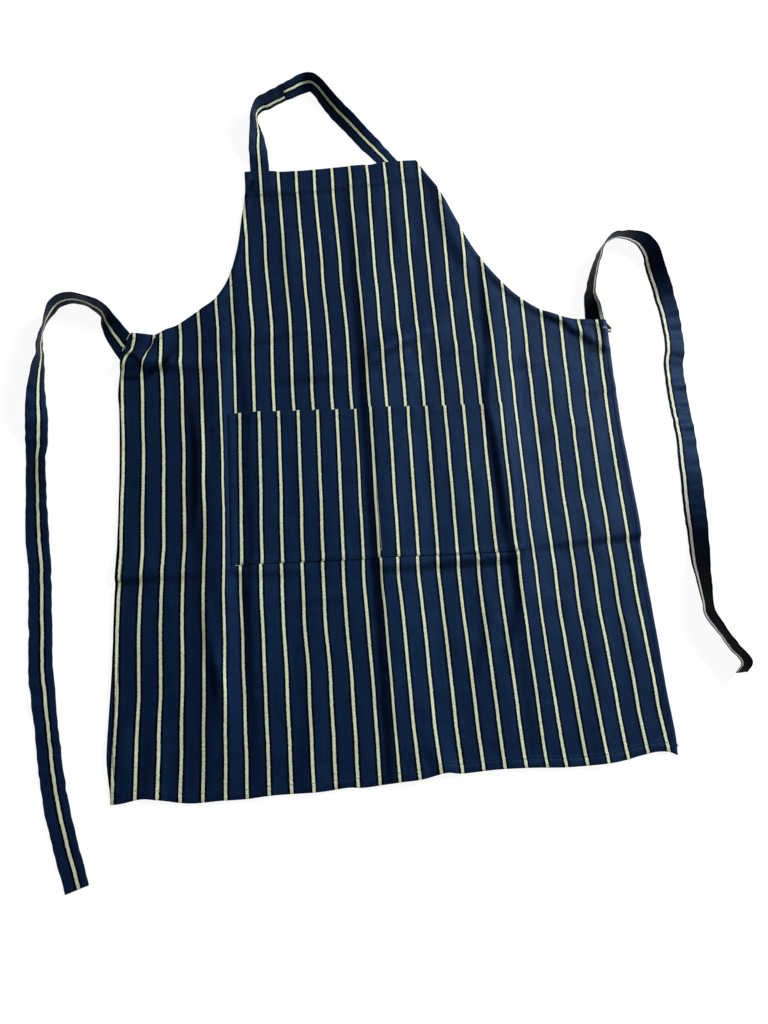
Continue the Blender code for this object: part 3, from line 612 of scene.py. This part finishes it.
def thread_material(name, dark, light):
    n = Nodes(name)
    place = n.add("ShaderNodeTexCoord").outputs["Object"]
    twist = n.noise(place, 2200.0)
    n.link(n.mix(twist, dark, light), n.shader.inputs["Base Color"])
    n.bump(twist, 0.4, 0.0001)
    n.link(n.ramp(twist, 0.3, 0.7, 0.55, 0.75), n.shader.inputs["Roughness"])
    n.uniform(specular_ior_level=0.15)
    return n.material


def floor_material():
    n = Nodes("studio_floor")
    n.uniform(base_color=(0.13, 0.13, 0.13, 1.0), roughness=0.9, specular_ior_level=0.1,
              emission_color=WHITE, emission_strength=0.925)
    return n.material


def backdrop_material():
    n = Nodes("studio_backdrop")
    n.uniform(base_color=BLACK, roughness=1.0, specular_ior_level=0.0,
              emission_color=WHITE, emission_strength=0.96)
    return n.material


# ---- meshes

def add_mesh(name, points, faces, material, uvs=None):
    """A mesh given in cloth coordinates, with its points' UVs in the cloth's own metres."""
    mesh = bpy.data.meshes.new(name)
    moved = np.asarray(points, float) - np.array(CENTRE)
    mesh.from_pydata(moved.tolist(), [], faces)
    if uvs is not None:
        layer = mesh.uv_layers.new(name="cloth")
        corners = np.empty(len(mesh.loops), np.int32)
        mesh.loops.foreach_get("vertex_index", corners)
        layer.data.foreach_set("uv", np.asarray(uvs, np.float32)[corners].ravel())
    mesh.materials.append(material)
    mesh.shade_smooth()
    made = bpy.data.objects.new(name, mesh)
    bpy.context.scene.collection.objects.link(made)
    return made


def triangulated(border, lines, step):
    """Points, triangles and tags that fill a closed border, with edges along each inner line.

    lines are (closed loop, tag) pairs. Grid points get tag 0 and border points tag 1.
    """
    rings = [(np.asarray(border), 1)] + [(np.asarray(loop), tag) for loop, tag in lines]
    fixed = np.concatenate([ring for ring, _ in rings])
    tags = np.concatenate([np.full(len(ring), tag) for ring, tag in rings])
    edges, first = [], 0
    for ring, _ in rings:
        count = len(ring)
        edges += [(first + i, first + (i + 1) % count) for i in range(count)]
        first += count
    low, high = fixed.min(0), fixed.max(0)
    gx, gy = np.meshgrid(np.arange(low[0], high[0], step), np.arange(low[1], high[1], step))
    gx = gx + (np.arange(gx.shape[0])[:, None] % 2) * step / 2
    grid = np.stack([gx.ravel(), gy.ravel()], 1)
    grid = grid[inside(grid, rings[0][0])]
    tree = KDTree(len(fixed))
    for i, point in enumerate(fixed):
        tree.insert((*point, 0.0), i)
    tree.balance()
    grid = grid[[tree.find((*point, 0.0))[2] > step * 0.55 for point in grid]]
    given = [Vector(point) for point in np.concatenate([fixed, grid])]
    made, _, faces, origins, _, _ = delaunay_2d_cdt(given, edges, [], 1, 1e-7)
    tags = np.concatenate([tags, np.zeros(len(grid), int)])
    found = np.array([tags[origin[0]] if origin else -1 for origin in origins])
    return np.array([tuple(point) for point in made]), [list(face) for face in faces], found


def border_loops(faces):
    """The directed edges that only one triangle uses, chained into loops."""
    used = {}
    for face in faces:
        for a, b in zip(face, face[1:] + face[:1]):
            used[(a, b)] = True
    follow = {a: b for a, b in used if (b, a) not in used}
    loops = []
    while follow:
        start, here = next(iter(follow.items()))
        loop = [start]
        del follow[start]
        while here != start:
            loop.append(here)
            here = follow.pop(here)
        loops.append(loop)
    return loops


def thin_sheet(name, flat, faces, low, high, uvs, material):
    """A closed sheet with an upper and a lower face and a rounded rim. flat is (n, 2)."""
    count = len(flat)
    points = [np.column_stack([flat, high]), np.column_stack([flat, low])]
    all_uvs = [uvs, uvs]
    cells = [list(face) for face in faces] + [[i + count for i in face[::-1]] for face in faces]
    first = 2 * count
    for loop in border_loops(faces):
        ring = flat[loop]
        along = unit(np.roll(ring, -1, axis=0) - np.roll(ring, 1, axis=0))
        outward = np.stack([along[:, 1], -along[:, 0]], 1)
        top, bottom = high[loop], low[loop]
        bulge = (top - bottom) * 0.45
        for share, reach in ((0.80, 0.75), (0.5, 1.0), (0.20, 0.75)):
            place = ring + outward * (bulge * reach)[:, None]
            points.append(np.column_stack([place, bottom + (top - bottom) * share]))
            all_uvs.append(uvs[loop])
        size = len(loop)
        rows = [loop] + [list(range(first + k * size, first + (k + 1) * size)) for k in range(3)]
        rows.append([i + count for i in loop])
        for upper, under in zip(rows, rows[1:]):
            for i in range(size):
                j = (i + 1) % size
                cells.append([upper[j], upper[i], under[i], under[j]])
        first += 3 * size
    return add_mesh(name, np.concatenate(points), cells, material, np.concatenate(all_uvs))


# ---- ribbons

def wander(place, scale, seed=0):
    """Smooth noise from about -1 to 1 at one place."""
    return noise.noise(place * scale + Vector((0, 0, seed)))


def ribbon_rings(route, side):
    """Rings along a route: centre, raised edge's direction, face normal and width."""
    samples = smooth(route, RING_STEP)
    rings = []
    for i, (x, y, roll, width) in enumerate(samples):
        along = (Vector(samples[min(i + 1, len(samples) - 1)][:2])
                 - Vector(samples[max(i - 1, 0)][:2])).normalized()
        out = Vector((-along.y, along.x, 0)) * side
        place = Vector((x, y, 0.0))
        width *= 1 + 0.035 * wander(place, 38, 5) + 0.035 * wander(place, 95, 7)
        angle = radians(roll + 4.0 * wander(place, 30) + 6.0 * wander(place, 80, 3))
        raised = out * cos(angle) + Vector((0, 0, sin(angle)))
        face = Vector((0, 0, cos(angle))) - out * sin(angle)
        height = width / 2 * abs(sin(angle)) + RIBBON / 2 * abs(cos(angle))
        sway = out * (0.0006 * wander(place, 34, 9) + 0.0004 * wander(place, 90, 2))
        rings.append((Vector((x, y, height)) + sway, raised, face, width))
    return rings


def ribbon_section(width, stripe):
    """The folded ribbon's outline: (towards the raised edge, off the face, pattern's x) points.

    The cloth wraps round the raised edge, and its two turned-in edges meet at the lower one.
    """
    half, t = width / 2, RIBBON / 2
    face = [(half - 0.0007, 0.92)]
    face += [(half * share, 1.0) for share in np.linspace(0.875, -0.625, 13)]
    face += [(-half + CLOSING + 0.0012, 1.0), (-half + CLOSING, 0.78),
             (-half + CLOSING - 0.0012, 0.98), (-half + 0.0004, 0.85)]
    front = [(a, b * t, a - stripe) for a, b in face]
    lip = [(-half, 0.45 * t, -half - stripe), (-half + 0.0007, 0.0, -half - stripe)]
    back = [(a, -b * t, width - a - stripe) for a, b in face[::-1]]
    under_lip = [(-half, -0.45 * t, 1.5 * width - stripe)]
    fold = [(half, -0.45 * t, half - stripe + 0.0002), (half + 0.0001, 0.0, half - stripe),
            (half, 0.45 * t, half - stripe)]
    return front + lip + under_lip + back + fold


def set_shade(piece, shades, layer="shade"):
    layer = piece.data.attributes.new(layer, "FLOAT", "POINT")
    layer.data.foreach_set("value", np.asarray(shades, np.float32))


def shade_from_place(piece):
    """Paint shade on a piece of cloth along its deep creases, where shadow falls, and mottle it."""
    places = np.array([vertex.co for vertex in piece.data.vertices]) + np.array(CENTRE)
    x, y = places[:, 0], places[:, 1]
    mottle = 0.05 * (1 + grain(x, y, 0.020, 31.0)) + 0.03 * (1 + grain(x, y, 0.008, 33.0))
    set_shade(piece, (1 - mottle) * (1 - np.clip(ridges(x, y, PAINTED_CREASE_SHADE), 0, 0.92)))


def add_ribbon(name, rings, side, stripe, shade, material, stripe_highlight=None, travelled=0.0):
    """The ribbon's mesh. stripe says how far its woven stripe lies towards the raised edge, along it."""
    points, uvs = [], []
    for i, (centre, raised, face, width) in enumerate(rings):
        if i:
            travelled += (centre - rings[i - 1][0]).length
        section = ribbon_section(width, keyed(i / (len(rings) - 1), stripe))
        for a, b, u in section if side > 0 else section[::-1]:
            points.append(centre + raised * a + face * b)
            uvs.append((u, travelled))
    size = len(section)
    cells = []
    for ring in range(len(rings) - 1):
        for i in range(size):
            a, b = ring * size + i, ring * size + (i + 1) % size
            cells.append([a, b, b + size, a + size])
    last = len(rings) * size
    cells += [list(reversed(range(size))), list(range(last - size, last))]
    made = add_mesh(name, points, cells, material, uvs)
    # Painted shade along the ribbon, and a painted highlight on its stripe
    shares = np.linspace(0, 1, len(rings))
    set_shade(made, np.repeat(keyed(shares, shade), size))
    if stripe_highlight:
        set_shade(made, np.repeat(keyed(shares, stripe_highlight), size), "stripe_highlight")
    return made


# ---- stage

CAMERA_PLACE = Vector((-0.0734, 0.0599, 0.9695)) - CENTRE
CAMERA_AXIS = Vector((0.0809, 0.2706, -0.9593))
CAMERA_UP = Vector((0.056, 0.960, 0.275))
LENS = 27.07


def add_camera():
    data = bpy.data.cameras.new("camera")
    data.lens = LENS
    data.sensor_width = 36.0
    data.clip_start = 0.01
    camera = bpy.data.objects.new("camera", data)
    back = -CAMERA_AXIS.normalized()
    right = CAMERA_UP.cross(back).normalized()
    up = back.cross(right)
    turn = Matrix((right, up, back)).transposed().to_4x4()
    camera.matrix_world = Matrix.Translation(CAMERA_PLACE) @ turn
    bpy.context.scene.collection.objects.link(camera)
    bpy.context.scene.camera = camera


def add_light(name, place, power, size):
    data = bpy.data.lights.new(name, "AREA")
    data.energy = power
    data.size = size
    light = bpy.data.objects.new(name, data)
    light.location = place
    light.rotation_euler = (Vector((0, 0, 0)) - Vector(place)).to_track_quat("-Z", "Y").to_euler()
    bpy.context.scene.collection.objects.link(light)


def dome(radius, columns, rows):
    """A half sphere's points and faces."""
    points = [(radius * cos(pi / 2 * row / rows) * cos(2 * pi * k / columns),
               radius * cos(pi / 2 * row / rows) * sin(2 * pi * k / columns),
               radius * sin(pi / 2 * row / rows) + FLOOR_Z)
              for row in range(rows) for k in range(columns)]
    faces = [[row * columns + k, row * columns + (k + 1) % columns,
              (row + 1) * columns + (k + 1) % columns, (row + 1) * columns + k]
             for row in range(rows - 1) for k in range(columns)]
    top = len(points)
    points.append((0, 0, radius + FLOOR_Z))
    first = (rows - 1) * columns
    faces += [[first + k, first + (k + 1) % columns, top] for k in range(columns)]
    return points, faces


STUDIO_RADIUS = 8.0
STUDIO_SIDES = 64
FLOOR_Z = -0.0004


def add_stage():
    world = bpy.data.worlds.new("studio")
    world.use_nodes = True
    background = world.node_tree.nodes["Background"]
    background.inputs["Color"].default_value = WHITE
    background.inputs["Strength"].default_value = 0.16
    bpy.context.scene.world = world
    add_light("key", (2.6, 1.5, 1.75), 185.0, 1.0)
    rim = [(STUDIO_RADIUS * cos(2 * pi * k / STUDIO_SIDES), STUDIO_RADIUS * sin(2 * pi * k / STUDIO_SIDES),
            FLOOR_Z) for k in range(STUDIO_SIDES)]
    add_mesh("floor", rim, [list(range(STUDIO_SIDES))], floor_material())
    backdrop = add_mesh("backdrop", *dome(STUDIO_RADIUS, STUDIO_SIDES, 12), backdrop_material())
    for ray in ("diffuse", "glossy", "transmission", "shadow"):
        setattr(backdrop, "visible_" + ray, False)
    bpy.context.scene.view_settings.view_transform = "Standard"


# ---- the apron

def ribbon_seam(rings, lateral, lift):
    """A line along a ribbon's rings, off to one side and raised from its face: points and normals."""
    points = [centre + raised * lateral(width) + face * lift
              for centre, raised, face, width in rings]
    return points, [face if lift > 0 else -face for _, _, face, _ in rings]


def closing_rows(rings):
    def lateral(width):
        return -width / 2 + CLOSING
    depth = RIBBON / 2 * 0.86
    return [ribbon_seam(rings, lateral, depth), ribbon_seam(rings, lateral, -depth)]


def cross_rows(rings, i, inner=0.9):
    """Stitches across a ribbon at ring i, on both faces."""
    centre, raised, face, width = rings[i]
    shares = np.linspace(-inner, inner, 12)
    return [([centre + raised * width / 2 * share + face * RIBBON / 2 * sign for share in shares],
             [face * sign] * len(shares)) for sign in (1.0, -1.0)]


def add_cords(twill, thread):
    def blend(piece):
        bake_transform(piece)

    neck = ribbon_rings(NECK_ROUTE, 1)
    seam_ring = next(i for i, ring in enumerate(neck) if ring[0].x > NECK_SEAM_X and ring[0].y > 0.95)
    rising, falling = neck[:seam_ring + 1], neck[seam_ring:]
    falling[0] = (falling[0][0].lerp(falling[1][0], 0.15), *falling[0][1:])
    for side, name, rings, stripe, shade in (
            ("left", "neck_strap_first_length", rising,
             [(0.0, 0.0), (0.35, 0.0), (0.62, -0.006), (1.0, -0.0075)], NECK_FIRST_SHADE),
            ("right", "neck_strap_second_length", falling,
             [(0.0, 0.001), (1.0, 0.0)], NECK_SECOND_SHADE)):
        piece = add_ribbon(name, rings, 1, stripe, shade, twill)
        blend(piece)
        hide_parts(f"neck_strap_{side}", f"{side}_strap_anchor")
        seam = add_stitches(name + "_stitches", closing_rows(rings), thread)
        blend(seam)
        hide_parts(f"neck_strap_{side}_stitch")
    sew("neck_strap_joining_stitches", cross_rows(falling, 2), thread, "neck_strap",
        "neck_strap_seam_stitch")

    left = ribbon_rings(LEFT_TIE_ROUTE, -1)
    right = ribbon_rings(RIGHT_TIE_ROUTE, 1)
    clear = next(i for i, ring in enumerate(right) if ring[0].y > RIGHT_ROOT_Y)
    root, rest = right[:clear + 1], right[clear:]
    root_length = sum((b[0] - a[0]).length for a, b in zip(root, root[1:]))
    for side, part, rings, turn, stripe, shade, stripe_highlight, travelled in (
            ("left", "ribbon", left, -1, -0.0022, LEFT_TIE_SHADE, None, 0.0),
            ("right", "root", root, 1, -0.0088, RIGHT_TIE_SHADE[:1], RIGHT_TIE_STRIPE_HIGHLIGHT[:1], 0.0),
            ("right", "ribbon", rest, 1, -0.0088, RIGHT_TIE_SHADE, RIGHT_TIE_STRIPE_HIGHLIGHT, root_length)):
        piece = add_ribbon(f"{side}_tie_{part}", rings, turn, [(0.0, stripe)], shade, twill,
                           stripe_highlight, travelled)
        seam = add_stitches(f"{side}_tie_{part}_stitches", closing_rows(rings), thread)
        if rings is rest:
            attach(piece, "right_tie")
            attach(seam, "right_tie")
        else:
            blend(piece)
            blend(seam)
        if rings is root:
            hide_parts("right_tie_anchor")
        else:
            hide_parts(side + "_waist_tie", *(["left_tie_anchor"] if side == "left" else []))
            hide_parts(side + "_tie_edge_stitch")
            sew(side + "_tie_end_stitches", cross_rows(rings, -3), thread, side + "_tie",
                side + "_tie_end_stitch")


PANEL_STEP = 0.004
GROOVE_HALF = 0.0008  # a hem's stitches pull in a groove, this wide to each side
GROOVE_DEPTH = 0.0005
POCKET_GROOVE = 0.0003


def panel_outline():
    """The panel's closed outline, the hem's width at each point and each edge's range of points."""
    path, widths, spans = [], [], {}
    for name, points, start, end in EDGES:
        samples = smooth(points, PANEL_STEP)
        spans[name] = (len(path), len(path) + len(samples) - 1)
        path += [sample[:2] for sample in samples[:-1]]
        widths += list(np.linspace(start, end, len(samples)))[:-1]
    return np.array(path), np.array(widths), spans


def blend_panel(piece):
    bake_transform(piece)


def add_panel(twill):
    outline, widths, _ = panel_outline()
    stitch = widths - STITCH_INSET
    lines = [(inset(outline, stitch - GROOVE_HALF), 2), (inset(outline, stitch), 3),
             (inset(outline, stitch + GROOVE_HALF), 4), (inset(outline, widths + 0.0004), 5)]
    flat, faces, tags = triangulated(outline, lines, PANEL_STEP)
    in_body = inside(flat, inset(outline, widths + 0.0003)) | (tags == 5)
    base = lie(flat[:, 0], flat[:, 1])
    low = base + np.where(in_body, HEM_DROP, 0.0)
    high = base + np.where(in_body, HEM_DROP + CLOTH, HEM)
    high -= np.where(tags == 3, GROOVE_DEPTH, 0.0)
    uvs = np.column_stack([panel_stripes(flat[:, 0], flat[:, 1]), flat[:, 1]])
    panel = thin_sheet("panel", flat, faces, low, high, uvs, twill)
    shade_from_place(panel)
    blend_panel(panel)
    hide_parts("skirt_panel", "bib_panel")


def closed_samples(corners, step):
    """Straight sides between corners, sampled: points and each one's side number."""
    points, sides = [], []
    for i, (start, end) in enumerate(zip(corners, corners[1:] + corners[:1])):
        start, end = np.array(start), np.array(end)
        count = max(1, round(np.linalg.norm(end - start) / step))
        points += [start + (end - start) * k / count for k in range(count)]
        sides += [i] * count
    return np.array(points), np.array(sides)


def pocket_place(x, y):
    """How far across its compartment and up the pocket a place is, each from 0 to 1."""
    (left, foot_left), (right, foot_right), (_, mouth_right), (_, mouth_left) = POCKET_CORNERS
    across = np.where(x < 0, (x - left) / -left, x / right)
    along = (x - left) / (right - left)
    foot = foot_left + along * (foot_right - foot_left)
    mouth = mouth_left + along * (mouth_right - mouth_left)
    return np.clip(across, 0, 1), np.clip((y - foot) / (mouth - foot), 0, 1)


def pocket_underside(x, y):
    """The pocket lies on the panel where it is sewn and stands off it in each compartment."""
    across, up = pocket_place(x, y)
    gape = np.sin(pi * across) ** 0.7 * eased(up * 3) * (0.35 + 0.65 * up ** 2)
    return panel_top(x, y, hem=False) + POCKET_GAP + POCKET_EASE * gape


def pocket_top(x, y, layers):
    return pocket_underside(x, y) + CLOTH * layers


def add_pocket(twill):
    outline, sides = closed_samples(POCKET_CORNERS, PANEL_STEP)
    mouth = sides == 2
    edge = np.full(len(outline), STITCH_INSET)
    turned = np.where(mouth, POCKET_HEM, POCKET_TURNING)
    lines = [(inset(outline, edge), 2), (inset(outline, edge + GROOVE_HALF), 3),
             (inset(outline, turned - 0.0010), 4), (inset(outline, turned + 0.0006), 5)]
    flat, faces, tags = triangulated(outline, lines, PANEL_STEP)
    x, y = flat[:, 0], flat[:, 1]
    single = inside(flat, inset(outline, turned)) | (tags == 5)
    low = pocket_underside(x, y)
    high = low + np.where(single, CLOTH, TURNED * CLOTH)
    sewn = (tags == 2) & (pocket_place(x, y)[1] < 0.98)
    high -= np.where(sewn, POCKET_GROOVE, 0.0)
    high -= POCKET_GROOVE * np.exp(-(x / 0.0016) ** 2)  # where the dividing seam pulls it down
    uvs = np.column_stack([pocket_stripes(x, y), y])
    pocket = thin_sheet("pocket", flat, faces, low, high, uvs, twill)
    shade_from_place(pocket)
    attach(pocket, "skirt")
    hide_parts("patch_pocket")


# ---- stitches

STITCH_PITCH = 0.0033
STITCH_LENGTH = 0.0028
STITCH_PROFILE = [(-0.5, 0.35), (-0.40, 0.80), (0.0, 1.0), (0.40, 0.80), (0.5, 0.35)]
STITCH_SIDES = 6


def add_stitches(name, rows, material, thread_size=THREAD):
    """Rows of raised stitches. Each row is a line of points and the surface's normal at each one."""
    points, faces = [], []
    for line, normals in rows:
        line, normals = np.asarray(line, float), np.asarray(normals, float)
        run = np.concatenate([[0], np.cumsum(np.linalg.norm(np.diff(line, axis=0), axis=1))])
        for at in np.arange(STITCH_PITCH / 2, run[-1], STITCH_PITCH):
            place, ahead, behind, up = (
                np.array([np.interp(spot, run, column) for column in table.T])
                for spot, table in ((at, line), (at + 0.0012, line), (at - 0.0012, line),
                                    (at, normals)))
            along = (ahead - behind) / np.linalg.norm(ahead - behind)
            across = np.cross(up, along)
            across /= np.linalg.norm(across)
            up = np.cross(along, across)
            first = len(points)
            for share, fat in STITCH_PROFILE:
                ring = place + along * STITCH_LENGTH * share - up * thread_size * 0.5 * (1 - fat)
                for k in range(STITCH_SIDES):
                    turn = 2 * pi * k / STITCH_SIDES
                    reach = thread_size / 2 * fat
                    points.append(ring + (across * cos(turn) + up * sin(turn)) * reach)
            for row in range(len(STITCH_PROFILE) - 1):
                for k in range(STITCH_SIDES):
                    a = first + row * STITCH_SIDES + k
                    b = first + row * STITCH_SIDES + (k + 1) % STITCH_SIDES
                    faces.append([a, b, b + STITCH_SIDES, a + STITCH_SIDES])
            faces.append([first + k for k in reversed(range(STITCH_SIDES))])
            last = len(points) - STITCH_SIDES
            faces.append([last + k for k in range(STITCH_SIDES)])
    made = add_mesh(name, points, faces, material)
    return made


def sew(name, rows, thread, body, *nodes, thread_size=THREAD):
    """Rows of stitches that ride on one body and stand for the nodes."""
    piece = add_stitches(name, rows, thread, thread_size)
    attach(piece, body)
    if nodes:
        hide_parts(*nodes)


def hem_surface(lift):
    """The height of the hems' top at each place, raised by lift."""
    return lambda x, y: panel_top(x, y, hem=True) + lift


def pocket_surface(layers):
    """The height just under the pocket's top where it has so many layers."""
    return lambda x, y: pocket_top(x, y, layers) - 0.0001


def flat_row(line, height):
    """A row over the cloth: (x, y) points and their height function."""
    line = np.asarray(line, float)
    z = height(line[:, 0], line[:, 1])
    return np.column_stack([line, z]), np.tile([0.0, 0.0, 1.0], (len(line), 1))


def add_panel_stitches(thread):
    outline, widths, spans = panel_outline()
    loop = inset(outline, widths - STITCH_INSET)

    def row(edge, trim=0):
        start, end = spans[edge]
        places = [i % len(loop) for i in range(start + trim, end + 1 - trim)]
        return flat_row(loop[places], hem_surface(-0.0002))

    for edge, name, node, body in (("left_side", "left_side", "left_side", "skirt"),
                                   ("right_side", "right_side", "right_side", "skirt"),
                                   ("bottom", "bottom", "bottom_hem", "skirt"),
                                   ("bib_top", "bib_hem", "bib_hem", "bib")):
        sew(name + "_stitches", [row(edge, 1)], thread, body, node + "_stitch")
    for side in ("left", "right"):
        rows = [row(side + "_shoulder"), row(side + "_armhole")]
        piece = add_stitches(side + "_armhole_stitches", rows, thread)
        blend_panel(piece)
        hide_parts(side + "_shoulder_stitch", side + "_armhole_stitch")
    for body, joint, tacks in (("bib", "strap", STRAP_TACKS), ("skirt", "tie", TIE_TACKS)):
        for side, corners in zip(("left", "right"), tacks):
            line, _ = closed_samples(corners, 0.002)
            line = np.concatenate([line, line[:1]])
            sew(f"{side}_{joint}_box_stitches", [flat_row(line, hem_surface(0.0))], thread, body,
                f"{side}_{joint}_tack")


def between(start, end, step=0.002):
    start, end = np.array(start), np.array(end)
    count = max(2, round(np.linalg.norm(end - start) / step))
    return start + (end - start) * np.linspace(0, 1, count)[:, None]


def add_tie_tail(twill):
    """The right tie's turned end, which shows beside the shoulder."""
    outline, _ = closed_samples(TIE_TAIL, 0.0015)
    flat, faces, _ = triangulated(outline, [], 0.0020)
    low = np.full(len(flat), 0.0001)
    uvs = np.column_stack([flat[:, 1] - 0.5850 + 0.12 * (flat[:, 0] - 0.353), flat[:, 0]])
    tail = thin_sheet("right_tie_tail", flat, faces, low, low + RIBBON * 0.8, uvs, twill)
    # Painted shade: the tail is drawn at half brightness
    set_shade(tail, np.full(len(tail.data.vertices), 0.5))
    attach(tail, "skirt")


def add_shoulder_tacks(pale_thread):
    for name, ends in SHOULDER_TACKS:
        rows = [flat_row(between(start, end), hem_surface(0.0002)) for start, end in ends]
        sew(name, rows, pale_thread, "skirt", thread_size=0.0011)


def add_pocket_stitches(thread, pale_thread):
    (left, foot_left), (right, foot_right), (_, mouth_right), (_, mouth_left) = POCKET_CORNERS
    e, hem = STITCH_INSET, POCKET_HEM - 0.0014

    two_layers, one_layer = pocket_surface(TURNED), pocket_surface(1)

    def foot_surface(x, y):
        return np.where(y > foot_right, pocket_top(x, y, TURNED), panel_top(x, y, hem=False)) + 0.0001

    line = between((left + e, mouth_left - hem), (right - e, mouth_right - hem))
    sew("pocket_mouth_stitches", [flat_row(line, two_layers)], thread, "skirt", "pocket_hem_stitch")
    lines = [between((left + e, mouth_left - 0.002), (left + e, foot_left + e)),
             between((left + e, foot_left + e), (right - e, foot_right + e)),
             between((right - e, foot_right + e), (right - e, mouth_right - 0.002))]
    sew("pocket_edge_stitches", [flat_row(line, two_layers) for line in lines], thread, "skirt",
        "pocket_edge_stitch")
    foot, mouth_middle = (foot_left + foot_right) / 2, (mouth_left + mouth_right) / 2
    line = between((0.0006, foot + 0.002), (0.0006, mouth_middle - 0.002))
    back = between((-0.0006, foot + 0.002), (-0.0006, foot + 0.012))
    sew("pocket_divider_stitches", [flat_row(line, one_layer), flat_row(back, one_layer)], pale_thread,
        "skirt", "pocket_divider_stitch")
    for side, x, y in (("left", left + e, mouth_left), ("right", right - e, mouth_right)):
        zigzag = [(x + 0.0012 * (-1) ** i, y - 0.0015 - 0.0012 * i) for i in range(9)]
        sew(side + "_pocket_bar_tack_stitches", [flat_row(zigzag, two_layers)], thread, "skirt",
            side + "_pocket_bar_tack")
    knot = [(x, y - 0.001) for x, y in between((left + 0.004, foot_left), (left + 0.009, foot_left))]
    zigzag = [(right - 0.0125 + 0.0016 * (-1) ** i, foot_right + 0.002 - 0.0020 * i) for i in range(8)]
    sew("pocket_foot_tack_stitches", [flat_row(knot, two_layers), flat_row(zigzag, foot_surface)],
        pale_thread, "skirt", thread_size=0.0009)


def build():
    add_camera()
    add_stage()
    twill = striped_twill("striped_twill")
    thread = thread_material("navy_thread", (0.0016, 0.0050, 0.0150, 1.0), (0.0060, 0.0150, 0.0400, 1.0))
    pale_thread = thread_material("cream_thread", (0.42, 0.44, 0.32, 1.0), (0.72, 0.74, 0.58, 1.0))
    add_cords(twill, thread)
    add_panel(twill)
    add_pocket(twill)
    add_panel_stitches(thread)
    add_tie_tail(twill)
    add_shoulder_tacks(pale_thread)
    add_pocket_stitches(thread, pale_thread)


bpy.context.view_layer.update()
build()
